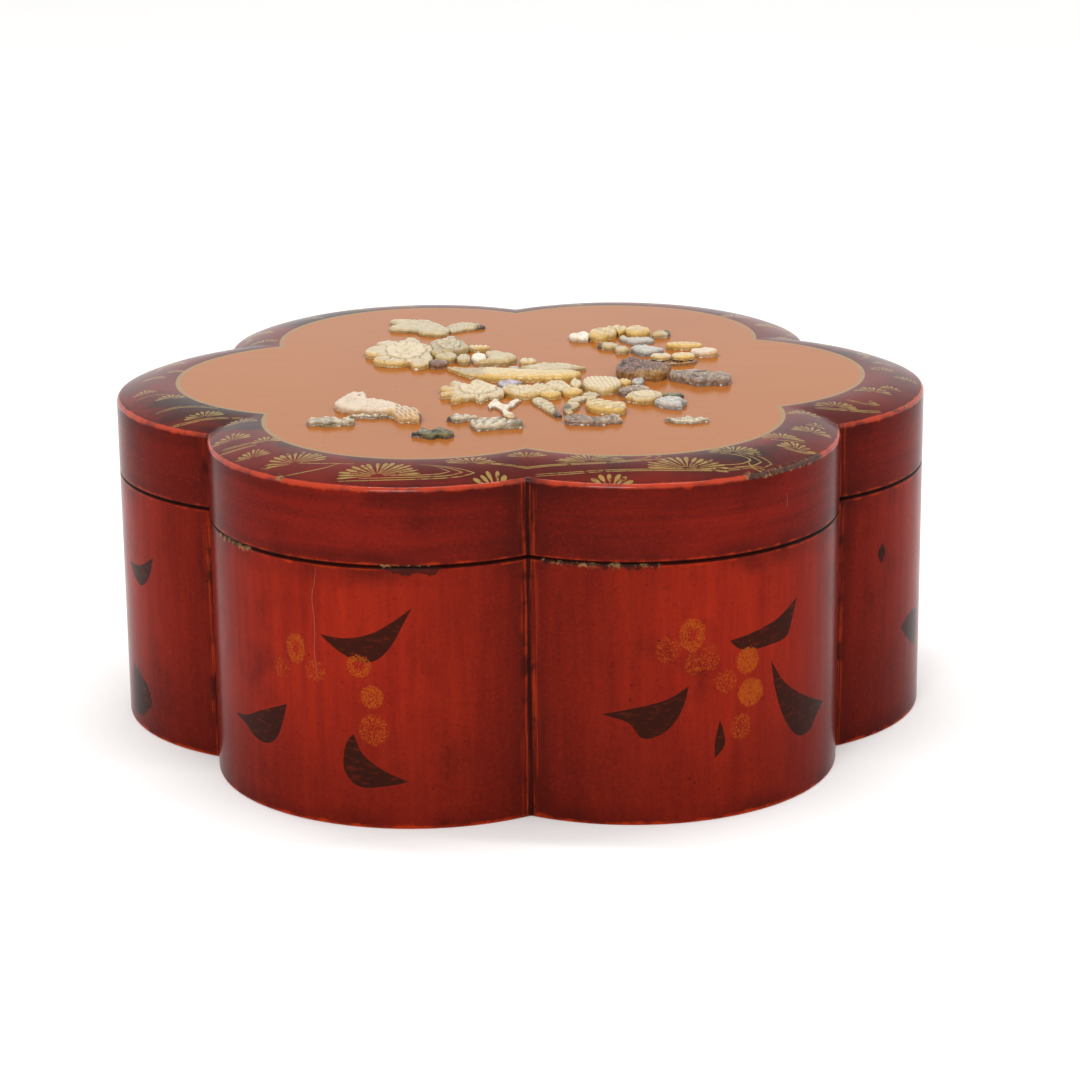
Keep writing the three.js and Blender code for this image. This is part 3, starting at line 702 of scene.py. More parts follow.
def petals(count, depth=0.8, shift=(0, 0)):
    """Long ridged petals round two rings of rounded lumps."""
    def carve(x, y):
        wide, tall = np.abs(x).max(), np.abs(y).max()
        x, y = x - shift[0], y - shift[1]
        x, y = x + 0.7 * ripples(x, y, 6, count), y + 0.9 * ripples(x, y, 6, count + 3)
        away = np.hypot(x / wide, y / tall)
        turn = (np.arctan2(y / tall, x / wide) / (2 * math.pi) - 0.25) * count
        relief = np.zeros_like(away)
        for low, high, level, offset in ((0.56, 9, -0.55, 0.5), (0.28, 0.56, -0.15, 0.0),
                                         (0, 0.28, 0.1, 0.5)):
            phase = turn * (1 if low else 0.5) + offset
            cut = np.abs((phase % 1) - 0.5) * 2
            across = (1 - cut) * away * wide * math.pi / count
            gap = np.exp(-(across / 0.42) ** 2)
            rim = np.exp(-(((away - low) * wide) / 0.5) ** 2) if low else 0
            ridge = 0.08 * np.cos(4 * math.pi * phase)
            ring = level + 0.3 * cut ** 0.5 + ridge - depth * np.maximum(gap, 0.6 * rim)
            relief = np.where((away >= low) & (away < high), ring, relief)
        return relief
    return carve


def veins(angle, pitch=1.8):
    """A midrib with slanted side veins."""
    turn = math.radians(angle)

    def carve(x, y):
        along = x * math.cos(turn) + y * math.sin(turn)
        side = np.abs(-x * math.sin(turn) + y * math.cos(turn))
        slant = np.abs(((along - 0.8 * side) / pitch + 0.5) % 1 - 0.5) * pitch
        return -0.4 * np.exp(-(side / 0.32) ** 2) - 0.2 * np.exp(-(slant / 0.26) ** 2)
    return carve


def rough(pitch, height, seed=1):
    """Irregular broken facets."""
    def carve(x, y):
        first = ripples(x, y, pitch, seed)
        second = ripples(x, y, pitch / 2.3, seed + 1)
        return -height * np.abs(first) - 0.4 * height * np.abs(second)
    return carve


def knobs(angle, pitch, depth):
    """Rounded swellings in a row, with creases between them."""
    turn = math.radians(angle)

    def carve(x, y):
        along = (x * math.cos(turn) + y * math.sin(turn) + 0.8 * ripples(x, y, 7, 2)) / pitch
        return -depth * (1 - np.abs(np.sin(math.pi * along)) ** 0.6)
    return carve


def right_of(limit, carve, other):
    """One carving to the right of `limit`, another to its left."""
    return lambda x, y: np.where(x > limit, carve(x, y), other(x, y))


def together(*carvings):
    return lambda x, y: sum(carve(x, y) for carve in carvings)


def falling(start, reach, drop):
    """A surface that falls away to the left of `start`."""
    return lambda x, y: -drop * np.clip((start - x) / reach, 0, 1)


WORN = rough(3.2, 0.2, 21)
THIN_HEAD = falling(-10, 15, 1.9)

# Each onlay: its shell or stone, its carving, and where the second colour lies (right, up, shift).
ONLAYS = {
    "swallow_body": ("pearl", right_of(-4, together(pits(90, 0.2, 0.3, 16), rough(4, 0.3)),
                                       grooves(88, 3.4, 0.5, 0.4)), (0, -0.3, -0.1)),
    "swallow_wing": ("pearl", together(grooves(20, 1.8, 0.4, 0.35), WORN), (1, 0, -0.2)),
    "left_chrysanthemum": ("cream", petals(9, shift=(3, 0)), (-0.3, -0.7, -0.3)),
    "left_blossom": ("pearl", together(petals(7), WORN), (0, -0.4, -0.3)),
    "left_bud_arm": ("cream", together(grooves(0, 2, 0.35, 0.4), WORN), (0, -0.5, -0.1)),
    "left_sepal": ("pearl", together(veins(100), WORN), (0, -0.6, -0.2)),
    "left_shade_leaf": ("purple", together(veins(90), WORN), (0, 1, -0.4)),
    "left_oval_bud": ("pearl", together(grooves(0, 1.9, 0.3, 0.3), WORN), (0, -0.6, -0.3)),
    "left_white_bud": ("white", rough(3, 0.3), (0, -0.4, -0.5)),
    "left_round_leaf": ("pearl", together(grooves(70, 3.2, 0.4, 0.35), WORN), (0, -0.8, -0.2)),
    "small_bud": ("cream", together(knobs(0, 3, 0.5), WORN), (0, -0.5, -0.2)),
    "blue_chip": ("blue", rough(2, 0.15), (0, 0, 0)),
    "long_bird_body": ("yellow", together(pits(340, 0.5, 0.32, 28), rough(2.6, 0.15), THIN_HEAD),
                       (0, -0.7, -0.2)),
    "long_bird_wing": ("pearl", together(grooves(75, 2.7, 0.6, 0.45, 0.3), WORN), (0, -0.5, -0.4)),
    "lavender_leaf": ("lavender", together(veins(50), rough(3, 0.3)), (0, 0, 0)),
    "middle_chrysanthemum": ("cream", petals(9, shift=(2.5, 1)), (-0.9, -0.1, -0.3)),
    "front_bird_body": ("cream", together(grooves(75, 2.6, 0.5, 0.4, 0.8), rough(3, 0.35)),
                        (0.1, -0.7, -0.2)),
    "front_petal_left": ("yellow", together(grooves(20, 2, 0.35, 0.35), WORN), (0, -1, 0)),
    "front_petal_right": ("yellow", together(pits(24, 0.4, 0.4, 4), WORN), (0, -1, 0)),
    "side_leaf": ("cream", together(knobs(0, 3, 0.5), WORN), (0, -0.5, -0.3)),
    "hatched_bud": ("cream", together(grooves(8, 1.9, 0.4, 0.32), grooves(98, 3.2, 0.4, 0.45)),
                    (0, -0.6, -0.4)),
    "hatched_bud_tip": ("yellow", together(grooves(0, 1.6, 0.3, 0.3), WORN), (0, -1, 0)),
    "blue_leaf_left": ("blue", rough(2, 0.3), (0, 0, 0)),
    "blue_leaf_right": ("blue", together(veins(80), rough(2, 0.4)), (0, 0, 0)),
    "mauve_leaf": ("mauve", together(grooves(80, 1.9, 0.4, 0.3), WORN), (1, 0.5, -0.1)),
    "cream_flower": ("cream", petals(9, 0.6), (0, -0.6, -0.4)),
    "dark_leaf": ("olive", veins(0), (1, 0, 0)),
    "tulip_leaf": ("blue", together(grooves(60, 2.9, 0.6, 0.4, 0.5), WORN), (1, 0, -0.2)),
    "purple_flower": ("purple", together(grooves(100, 4, 0.8, 0.6, 1.6), rough(5, 0.7)),
                      (0.3, -0.9, -0.5)),
    "grey_butterfly": ("mauve", together(grooves(95, 4.2, 0.6, 0.6, 1.5), rough(4, 0.5)),
                       (0.2, 0.6, -0.1)),
    "forked_twig": ("white", together(knobs(70, 6, 0.4), rough(2.6, 0.4)), (0.2, -1, -0.5)),
    "twisted_twig": ("pearl", together(knobs(125, 4.6, 0.8), WORN), (0.4, -0.8, -0.3)),
    "curved_twig": ("pearl", together(knobs(80, 5.4, 0.8), WORN), (-0.5, -0.6, -0.2)),
    "curled_leaf": ("yellow", together(grooves(115, 4.2, 0.8, 0.9, 0.8), rough(4, 0.3)),
                    (-0.4, -0.8, -0.1)),
    "pink_bud": ("white", together(knobs(0, 5, 0.3), rough(4, 0.15)), (0, 0, -0.5)),
    "yellow_bloom_left": ("yellow", together(knobs(35, 6, 0.4), rough(4, 0.3)), (0, -1, -0.1)),
    "yellow_bloom_middle": ("yellow", together(knobs(0, 4, 0.5), WORN), (0, -0.6, -0.1)),
    "yellow_bloom_right": ("yellow", together(knobs(-35, 6, 0.4), rough(4, 0.3)), (0, -1, -0.1)),
    "back_leaf": ("pearl", together(veins(35), WORN), (-1, 0, 0.2)),
    "grey_leaf_back": ("blue", together(veins(-12), WORN), (0, 0, -0.2)),
    "grey_leaf_front": ("blue", together(grooves(70, 3.4, 0.5, 0.4), WORN), (0, 0, -0.2)),
    "stem_leaf_left": ("pearl", together(veins(-18), WORN), (0, 0, 0)),
    "stem_leaf_right": ("pearl", together(knobs(90, 4, 0.4), WORN), (0, 0, 0)),
    "yellow_bar": ("yellow", together(knobs(0, 2.8, 0.35), WORN), (0, -1, 0.1)),
    "pink_petal": ("pink", rough(4, 0.15), (0.5, -0.3, -0.3)),
    "shell_base": ("purple", rough(3, 0.5), (0, -1, -0.6)),
    "cream_petal_left": ("cream", together(knobs(0, 4, 0.4), WORN), (0, -0.5, -0.4)),
    "cream_petal_right": ("yellow", together(grooves(80, 3, 0.4), WORN), (0, -0.8, -0.3)),
    "sitting_bird": ("pink", right_of(7.5, grooves(22, 1.9, 1.1, 0.42, 0.3),
                                      together(pits(620, 0.34, 0.3, 24, 8), rough(6, 0.25))),
                     (0.5, -0.8, -0.35)),
    "rock_left": ("grey", together(knobs(10, 4.4, 0.9), rough(3, 0.5, 4)), (0, 0, -0.2)),
    "rock_under_bird": ("grey", together(knobs(0, 5, 0.8), rough(3, 0.4, 6)), (0, 0, -0.2)),
    "rock_small": ("grey", together(knobs(20, 3.6, 0.8), rough(3, 0.4, 8)), (0, -0.5, -0.3)),
    "rock_middle": ("grey", together(knobs(-15, 3.9, 0.8), rough(4, 0.5, 10)), (1, 0, -0.45)),
    "rock_dark": ("olive", together(knobs(25, 6, 1.2), rough(5, 0.8, 12)), (0, 1, -0.2)),
    "rock_mauve": ("mauve", together(knobs(20, 3.6, 0.9), rough(4, 0.6, 14)), (0.9, 0, -0.2)),
    "rock_right": ("grey", together(knobs(40, 2.9, 0.9), rough(3, 0.5, 16)), (0, 1, -0.1)),
}

# Small dark places on the onlays: middle, half sizes and strength.
DARK_SPOTS = {
    "sitting_bird": [((-66.7, -44.6), (0.9, 1.6), 1.0), ((-41.6, -76), (1.2, 3), 0.7)],
    "swallow_wing": [((-15, 87), (4.5, 6), 0.8)],
    "twisted_twig": [((14.4, -72), (3.2, 6.5), 1.0)],
    "curved_twig": [((17.6, -63), (2.6, 7), 0.75)],
    "forked_twig": [((-2.6, -75), (3.4, 5), 0.45)],
    "stem_leaf_left": [((35, 47.5), (2.4, 4), 0.8)],
    "back_leaf": [((66, 70), (2, 4), 0.8)],
    "rock_small": [((-30, -77), (1.6, 3), 0.6)],
    "rock_dark": [((-36.6, -100), (1.4, 5), 0.9), ((-43, -102), (3, 2.2), 0.8)],
    "purple_flower": [((44, 0), (3, 9), 0.5), ((52, -4), (2, 5), 0.5)],
    "grey_butterfly": [((78, -11), (7, 2), 0.7), ((72, -19), (2, 5), 0.6)],
}

# Outlines of the larger carved pieces, finer than in the solids, read on six enlarged
# parts of the photograph: the upper left pixel of the part, its enlargement, and the points.
PHOTO_OUTLINES = [
    ((360, 310), 5.6, {
        "swallow_body": [(168, 70), (190, 60), (230, 60), (300, 62), (370, 62), (430, 78),
            (470, 100), (502, 125), (480, 148), (430, 150), (380, 147), (340, 142), (320, 130),
            (240, 124), (180, 120), (163, 106), (200, 94), (215, 86), (200, 80)],
        "swallow_wing": [(485, 104), (520, 85), (580, 75), (640, 78), (705, 96), (650, 108),
            (600, 116), (560, 124), (515, 132), (495, 122)],
        "left_chrysanthemum": [(90, 188), (150, 178), (210, 182), (250, 176), (262, 164),
            (290, 160), (330, 172), (350, 192), (400, 208), (412, 232), (396, 250), (408, 285),
            (392, 318), (340, 335), (298, 330), (282, 312), (200, 320), (110, 314), (78, 300),
            (85, 286), (140, 282), (106, 270), (40, 264), (28, 240), (75, 214), (140, 206)],
        "left_blossom": [(400, 184), (440, 168), (480, 168), (485, 152), (532, 150), (552, 172),
            (590, 185), (592, 205), (612, 222), (590, 240), (545, 248), (510, 262), (470, 262),
            (440, 278), (404, 270), (414, 240), (398, 206)],
        "left_round_leaf": [(708, 262), (704, 240), (760, 234), (820, 244), (860, 256), (878, 276),
            (862, 298), (800, 312), (720, 312), (650, 312), (690, 302), (722, 290)],
        "long_bird_body": [(487, 315), (526, 314), (600, 321), (700, 329), (800, 336), (900, 344),
            (1000, 350), (1100, 355), (1200, 358), (1242, 376), (1222, 392), (1150, 402),
            (1050, 404), (950, 404), (850, 406), (750, 402), (630, 385), (574, 357), (534, 332)],
        "long_bird_wing": [(896, 328), (960, 314), (1040, 302), (1140, 305), (1205, 316),
            (1268, 330), (1200, 344), (1100, 354), (1000, 354), (940, 346)],
        "lavender_leaf": [(768, 412), (800, 402), (850, 394), (912, 410), (880, 428), (810, 448),
            (776, 432)],
    }),
    ((430, 365), 7.6, {
        "middle_chrysanthemum": [(150, 152), (185, 122), (235, 140), (300, 165), (325, 125),
            (380, 118), (440, 140), (480, 168), (530, 180), (560, 205), (562, 240), (500, 264),
            (445, 260), (405, 286), (375, 292), (330, 268), (250, 282), (165, 300), (158, 280),
            (190, 250), (85, 254), (78, 240), (170, 224), (95, 208), (80, 185), (100, 163),
            (190, 184)],
        "front_bird_body": [(545, 192), (600, 165), (700, 165), (780, 165), (795, 152), (880, 150),
            (905, 130), (1020, 130), (1060, 160), (1082, 188), (1040, 202), (980, 208), (880, 218),
            (850, 242), (760, 262), (680, 257), (610, 242), (565, 218)],
        "forked_twig": [(448, 322), (452, 292), (480, 266), (504, 252), (520, 268), (545, 292),
            (572, 312), (600, 290), (640, 262), (690, 258), (660, 278), (640, 300), (606, 322),
            (590, 336), (600, 372), (640, 392), (642, 412), (600, 420), (566, 400), (548, 356),
            (520, 326), (492, 312), (474, 312), (464, 330)],
        "twisted_twig": [(784, 258), (812, 250), (842, 248), (866, 256), (900, 276), (926, 290),
            (948, 318), (946, 340), (972, 368), (1004, 398), (976, 402), (930, 384), (884, 350),
            (858, 334), (842, 308), (806, 292)],
        "rock_small": [(126, 406), (150, 396), (200, 380), (240, 384), (290, 384), (340, 388),
            (372, 398), (344, 416), (290, 424), (246, 434), (190, 438), (152, 422)],
        "rock_middle": [(306, 438), (336, 420), (372, 406), (430, 410), (480, 404), (556, 406),
            (596, 428), (640, 424), (690, 416), (712, 440), (708, 464), (640, 478), (590, 480),
            (500, 488), (430, 492), (356, 498), (322, 476)],
    }),
    ((560, 318), 8, {
        "pink_bud": [(73, 154), (110, 138), (180, 114), (235, 128), (242, 160), (226, 190),
            (150, 192), (86, 184)],
        "yellow_bloom_left": [(244, 112), (270, 96), (300, 92), (345, 92), (380, 76), (420, 80),
            (446, 98), (448, 150), (400, 172), (350, 190), (290, 192), (250, 182)],
        "yellow_bloom_middle": [(400, 76), (450, 65), (520, 72), (542, 98), (524, 130), (472, 152),
            (444, 124)],
        "yellow_bloom_right": [(528, 92), (570, 76), (640, 75), (700, 90), (724, 120), (700, 150),
            (640, 162), (570, 162), (530, 138)],
        "grey_leaf_back": [(478, 156), (510, 144), (556, 168), (620, 164), (700, 165), (756, 186),
            (735, 202), (650, 210), (610, 220), (560, 208), (520, 188)],
        "stem_leaf_left": [(302, 228), (340, 200), (400, 205), (462, 226), (455, 252), (400, 258),
            (330, 248)],
        "grey_leaf_front": [(562, 242), (610, 228), (680, 222), (748, 234), (775, 250), (834, 266),
            (804, 286), (720, 302), (640, 302), (600, 278)],
        "purple_flower": [(448, 412), (470, 384), (490, 350), (560, 330), (640, 336), (690, 356),
            (760, 366), (830, 380), (896, 388), (880, 416), (872, 446), (836, 482), (760, 502),
            (700, 490), (640, 494), (600, 486), (530, 484), (468, 468)],
        "grey_butterfly": [(876, 430), (940, 424), (1010, 419), (1100, 417), (1200, 428),
            (1320, 440), (1372, 478), (1362, 522), (1290, 538), (1250, 528), (1200, 534),
            (1100, 538), (1020, 518), (930, 488), (888, 456)],
    }),
    ((560, 370), 9, {
        "mauve_leaf": [(528, 198), (580, 162), (650, 148), (740, 148), (822, 180), (760, 196),
            (700, 196), (600, 238), (550, 234)],
        "hatched_bud": [(205, 130), (222, 94), (300, 78), (400, 74), (480, 88), (545, 114),
            (552, 152), (520, 192), (460, 217), (380, 222), (300, 212), (230, 184)],
        "cream_flower": [(598, 242), (616, 222), (650, 205), (690, 200), (730, 188), (775, 192),
            (820, 188), (862, 200), (905, 206), (918, 236), (880, 258), (862, 286), (830, 302),
            (790, 304), (750, 316), (715, 304), (680, 304), (645, 284), (610, 276)],
        "tulip_leaf": [(852, 292), (920, 256), (1000, 248), (1080, 254), (1110, 268), (1152, 292),
            (1106, 304), (1104, 352), (1000, 348), (900, 332)],
        "curled_leaf": [(232, 292), (256, 256), (330, 260), (430, 285), (510, 298), (592, 312),
            (598, 360), (564, 400), (500, 412), (400, 398), (320, 388), (256, 348)],
        "curved_twig": [(322, 246), (250, 254), (186, 282), (138, 300), (170, 308), (168, 342),
            (112, 375), (118, 405), (80, 414), (44, 392), (34, 350), (62, 320), (72, 290),
            (128, 252), (196, 236), (216, 208), (270, 194), (334, 206)],
        "rock_mauve": [(48, 424), (100, 412), (160, 408), (230, 416), (270, 430), (330, 436),
            (400, 420), (480, 402), (545, 424), (568, 460), (500, 482), (450, 476), (400, 492),
            (330, 502), (270, 492), (220, 492), (70, 490)],
        "rock_right": [(942, 444), (1000, 420), (1040, 432), (1080, 430), (1170, 416), (1210, 430),
            (1240, 430), (1310, 430), (1348, 456), (1290, 462), (1250, 476), (1180, 484),
            (1110, 478), (1040, 480), (1000, 462)],
    }),
    ((300, 385), 10, {
        "sitting_bird": [(353, 192), (400, 150), (450, 120), (500, 92), (570, 84), (600, 88),
            (618, 80), (645, 84), (668, 108), (682, 145), (760, 155), (850, 175), (930, 200),
            (1000, 235), (1070, 258), (1160, 285), (1200, 312), (1216, 345), (1190, 374),
            (1130, 379), (1080, 372), (1030, 376), (960, 356), (935, 330), (900, 306), (800, 297),
            (700, 292), (600, 283), (500, 277), (400, 252), (358, 225)],
        "rock_left": [(66, 384), (84, 350), (110, 338), (190, 328), (240, 334), (290, 324),
            (360, 336), (410, 348), (470, 334), (548, 340), (552, 370), (500, 402), (440, 400),
            (400, 406), (330, 408), (250, 416), (190, 404), (110, 407)],
        "rock_under_bird": [(478, 322), (550, 305), (640, 288), (700, 300), (760, 296), (860, 302),
            (925, 305), (870, 330), (800, 328), (760, 334), (700, 336), (640, 330), (560, 334)],
    }),
    ((300, 300), 3.2609, {
        "rock_dark": [(364, 442), (380, 432), (402, 420), (428, 426), (455, 417), (496, 427),
            (502, 441), (480, 451), (450, 447), (430, 454), (400, 447)],
    }),
]

# Gloss of the lacquers.
WALL_IOR = 1.1
TOP_IOR = 1.15

# Carved pieces: how high the straight wall goes, how the top falls to it, how ragged the edge
# is, and how closely outline and top are divided.
RIM_SHARE = 0.68
SHOULDER_REACH = 1.5
WALL_ROUGHNESS = 0.3
EDGE_RIPPLE = 0.22
GROWTH = 0.3
CUT_STEP = 0.42
CUT_SHARPNESS = 58
CARVING_GRID = 0.34
LARGE_CARVING_GRID = 0.42
LARGE_AREA = 500
RIM_GAP = 0.18

# Height on a piece's wall where the near and the far side of its outline on the photograph lie.
NEAR_SHARE = 0.15
FAR_SHARE = 0.9


def cad_outline(node):
    """Base outline of a CAD node, counter-clockwise, with its base, edge and top heights."""
    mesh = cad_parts[node].data
    places = np.array([v.co for v in mesh.vertices]) / MILLIMETRE
    _, first, welded = np.unique(
        np.round(places, 2), axis=0, return_index=True, return_inverse=True)
    welded = welded.ravel()
    places = places[first]
    heights = np.unique(np.round(places[:, 2], 2))
    base = heights[0]
    low = places[:, 2] < base + 0.01
    follow = {}
    for polygon in mesh.polygons:
        ring = [welded[i] for i in polygon.vertices]
        for a, b in zip(ring, ring[1:] + ring[:1]):
            if low[a] and low[b] and sum(low[i] for i in ring) < len(ring):
                follow[a] = b
    start = next(iter(follow))
    loop = [start]
    while follow[loop[-1]] != start:
        loop.append(follow[loop[-1]])
    outline = places[loop][:, :2]
    area = np.sum(outline[:, 0] * np.roll(outline[:, 1], -1)
                  - outline[:, 1] * np.roll(outline[:, 0], -1))
    return outline if area > 0 else outline[::-1], base, heights[1], heights[-1]


def photo_outline(origin, zoom, points, base, edge):
    """Plan outline of a carved piece from its outline on an enlarged part of the photograph.

    The near side of that outline lies low on the piece's wall, and the far side near its upper
    edge. A tenth of a millimetre is finer than it can be read.
    """
    x, y = (np.array(points) / zoom + origin).T
    middle, half = (y.min() + y.max()) / 2, (y.max() - y.min()) / 2
    far = np.clip(0.5 - 0.9 * (y - middle) / half, 0, 1)
    height = base + (edge - base) * (NEAR_SHARE + (FAR_SHARE - NEAR_SHARE) * far)
    right, up, back = camera_axes()
    focus = CAMERA_LENS / SENSOR_WIDTH * PHOTO_SIZE
    rays = (np.outer((x - PHOTO_MIDDLE[0]) / focus, right)
            - np.outer((y - PHOTO_MIDDLE[1]) / focus, up) - back)
    eye = CAMERA_TARGET + back * CAMERA_DISTANCE
    plan = eye[:2] + rays[:, :2] * ((height - eye[2]) / rays[:, 2])[:, None]
    return np.round(plan, 1)[::-1]


def loop_normals(loop):
    along = np.roll(loop, -1, 0) - np.roll(loop, 1, 0)
    along /= np.linalg.norm(along, axis=1)[:, None]
    return np.stack([along[:, 1], -along[:, 0]], 1)


def cut_loop(name, outline, base, edge):
    """Fine outline of an onlay, with small irregular bites and bulges."""
    growth = GROWTH
    for origin, zoom, pieces in PHOTO_OUTLINES:
        if name in pieces:
            outline = photo_outline(origin, zoom, pieces[name], base, edge)
            growth = 0
    loop = smooth_loop(outline, CUT_STEP, CUT_SHARPNESS)
    wave = ripples(loop[:, 0], loop[:, 1], 2.6, len(name))
    return loop + loop_normals(loop) * (growth + EDGE_RIPPLE * wave)[:, None]


def dark_spots(name, x, y):
    total = np.zeros_like(x)
    for (mx, my), (wide, tall), strength in DARK_SPOTS.get(name, []):
        away = np.hypot((x - mx) / wide, (y - my) / tall)
        total = np.maximum(total, strength * np.clip(1.3 - away, 0, 1))
    return total


def onlay_patches(name, outline, base, edge, top, carve, tint_axis):
    """A carved shell piece: a rough low wall, a rounded shoulder and a carved top."""
    outward = loop_normals(outline)
    count = len(outline)
    seed = len(name) * 7 + count
    middle = (outline.min(0) + outline.max(0)) / 2
    half = (outline.max(0) - outline.min(0)) / 2
    rim_height = base + (edge - base) * RIM_SHARE

    def tint(x, y, rim):
        right, up, shift = tint_axis
        lean = right * (x - middle[0]) / half[0] + up * (y - middle[1]) / half[1]
        return np.clip(0.4 + lean + shift + 0.3 * ripples(x, y, 5, seed) + 0.45 * rim, 0, 1)

    rings, walls = [], []
    for height, wall in ((0, 1), (0.25, 0.8), (0.5, 0.5), (0.75, 0.3), (1, 0.1)):
        turn = np.arange(count) * CUT_STEP
        rib = WALL_ROUGHNESS * (0.5 + 0.5 * ripples(turn, 3 * height + turn * 0, 1.8, seed))
        shift = rib if 0 < height < 1 else np.zeros(count)
        rings.append(np.column_stack([
            outline - outward * shift[:, None],
            np.full(count, base + (rim_height - base) * height)]))
        walls.append(np.full(count, wall))
    points = np.concatenate(rings)
    triangles = []
    for ring in range(len(rings) - 1):
        for i in range(count):
            a, b = ring * count + i, ring * count + (i + 1) % count
            triangles += [(a, b, b + count), (a, b + count, a + count)]
    x, y = points[:, 0], points[:, 1]
    side = patch(points, None, np.array(triangles), {
        "wall": np.concatenate(walls), "tint": tint(x, y, 1), "ink": dark_spots(name, x, y)})

    area = np.prod(2 * half)
    spacing = CARVING_GRID if area < LARGE_AREA else LARGE_CARVING_GRID
    grid = hex_grid(outline.min(0), outline.max(0), spacing)
    grid = grid[inside(grid, outline)]
    grid = grid[loop_distance(grid, outline) > RIM_GAP]
    flat, faces, _ = fill([outline], grid)
    x, y = flat[:, 0], flat[:, 1]
    depth = loop_distance(flat, outline)
    reach = min(max(depth.max(), 0.5), SHOULDER_REACH)
    rise = np.clip(depth / reach, 0, 1)
    dome = (1 - (1 - rise) ** 2.4) ** 0.8
    waves = 0.25 * np.abs(ripples(x, y, 9, seed + 5)) * rise
    carved = carve(x - middle[0], y - middle[1]) * np.clip(depth / 0.9, 0, 1)
    height = np.clip(rim_height + (top - rim_height) * dome + carved - waves, base + 0.3, top)
    crown = patch(np.column_stack([flat, height]), None, faces, {
        "carve": np.clip(-carved / 0.7, 0, 1), "tint": tint(x, y, (1 - rise) ** 2),
        "ink": dark_spots(name, x, y)})
    flat, faces, _ = fill([rings[0][:, :2]], [])
    bottom = patch(np.column_stack([flat, np.full(len(flat), base)]), None, faces[:, ::-1],
                   {"wall": np.ones(len(flat)), "tint": tint(flat[:, 0], flat[:, 1], 1)})
    return [side, crown, bottom]


def colour(code):
    """Linear colour from an sRGB code."""
    parts = [int(code[i:i + 2], 16) / 255 for i in (1, 3, 5)]
    return (*[((c + 0.055) / 1.055) ** 2.4 if c > 0.04045 else c / 12.92 for c in parts], 1.0)


class Material:
    """Builds a node material. Methods return sockets that feed the next ones."""

    def __init__(self, name, **settings):
        self.made = bpy.data.materials.new(name)
        self.made.use_nodes = True
        self.tree = self.made.node_tree
        self.shader = self.tree.nodes["Principled BSDF"]
        for key, value in settings.items():
            self.shader.inputs[key.replace("_", " ")].default_value = value

    def node(self, kind, inputs, **settings):
        node = self.tree.nodes.new("ShaderNode" + kind)
        for key, value in settings.items():
            setattr(node, key, value)
        for key, value in inputs.items():
            self.feed(node.inputs[key], value)
        return node

    def feed(self, socket, value):
        if isinstance(value, bpy.types.NodeSocket):
            self.tree.links.new(value, socket)
        else:
            socket.default_value = value

    def value(self, name):
        return self.node("Attribute", {}, attribute_name=name).outputs["Fac"]

    def place(self):
        return self.node("TexCoord", {}).outputs["Object"]

    def unrolled(self, across, up):
        """Place along the wall and up it, or across the lid, scaled each way."""
        return self.node("CombineXYZ", {
            "X": self.math("MULTIPLY", self.value("u"), across),
            "Y": self.math("MULTIPLY", self.value("v"), up)}).outputs[0]

    def noise(self, scale, vector=None, detail=4.0, roughness=0.55, distortion=0.0):
        return self.node("TexNoise", {
            "Vector": vector or self.place(), "Scale": scale, "Detail": detail,
            "Roughness": roughness, "Distortion": distortion}).outputs["Fac"]

    def specks(self, scale, low, high):
        """1 in small scattered dots."""
        dots = self.node("TexVoronoi", {"Vector": self.place(), "Scale": scale}, feature="F1")
        return self.step(dots.outputs["Distance"], high, low)

    def math(self, operation, first, second=0.0):
        return self.node("Math", {0: first, 1: second}, operation=operation).outputs[0]

    def times(self, first, second):
        return self.math("MULTIPLY", first, second)

    def tint(self, base, share, strength, tone):
        """`base` with the colour `tone` laid over it where `share` is 1."""
        return self.mix(self.times(share, strength), base, colour(tone))

    def step(self, value, low, high):
        """Smooth step from 0 at `low` to 1 at `high`."""
        return self.node("MapRange", {"Value": value, "From Min": low, "From Max": high},
                         interpolation_type="SMOOTHSTEP").outputs["Result"]

    def mix(self, share, first, second, blend="MIX"):
        node = self.node("Mix", {}, data_type="RGBA", blend_type=blend)
        self.feed(node.inputs["Factor"], share)
        for name, value in (("A", first), ("B", second)):
            socket = [s for s in node.inputs if s.name == name and s.type == "RGBA"][0]
            self.feed(socket, value)
        return [s for s in node.outputs if s.type == "RGBA"][0]

    def bump(self, height, strength, distance, normal=None):
        inputs = {"Height": height, "Strength": strength, "Distance": distance}
        if normal:
            inputs["Normal"] = normal
        return self.node("Bump", inputs).outputs["Normal"]

    def finish(self, **inputs):
        for key, value in inputs.items():
            self.feed(self.shader.inputs[key.replace("_", " ")], value)
        return self.made


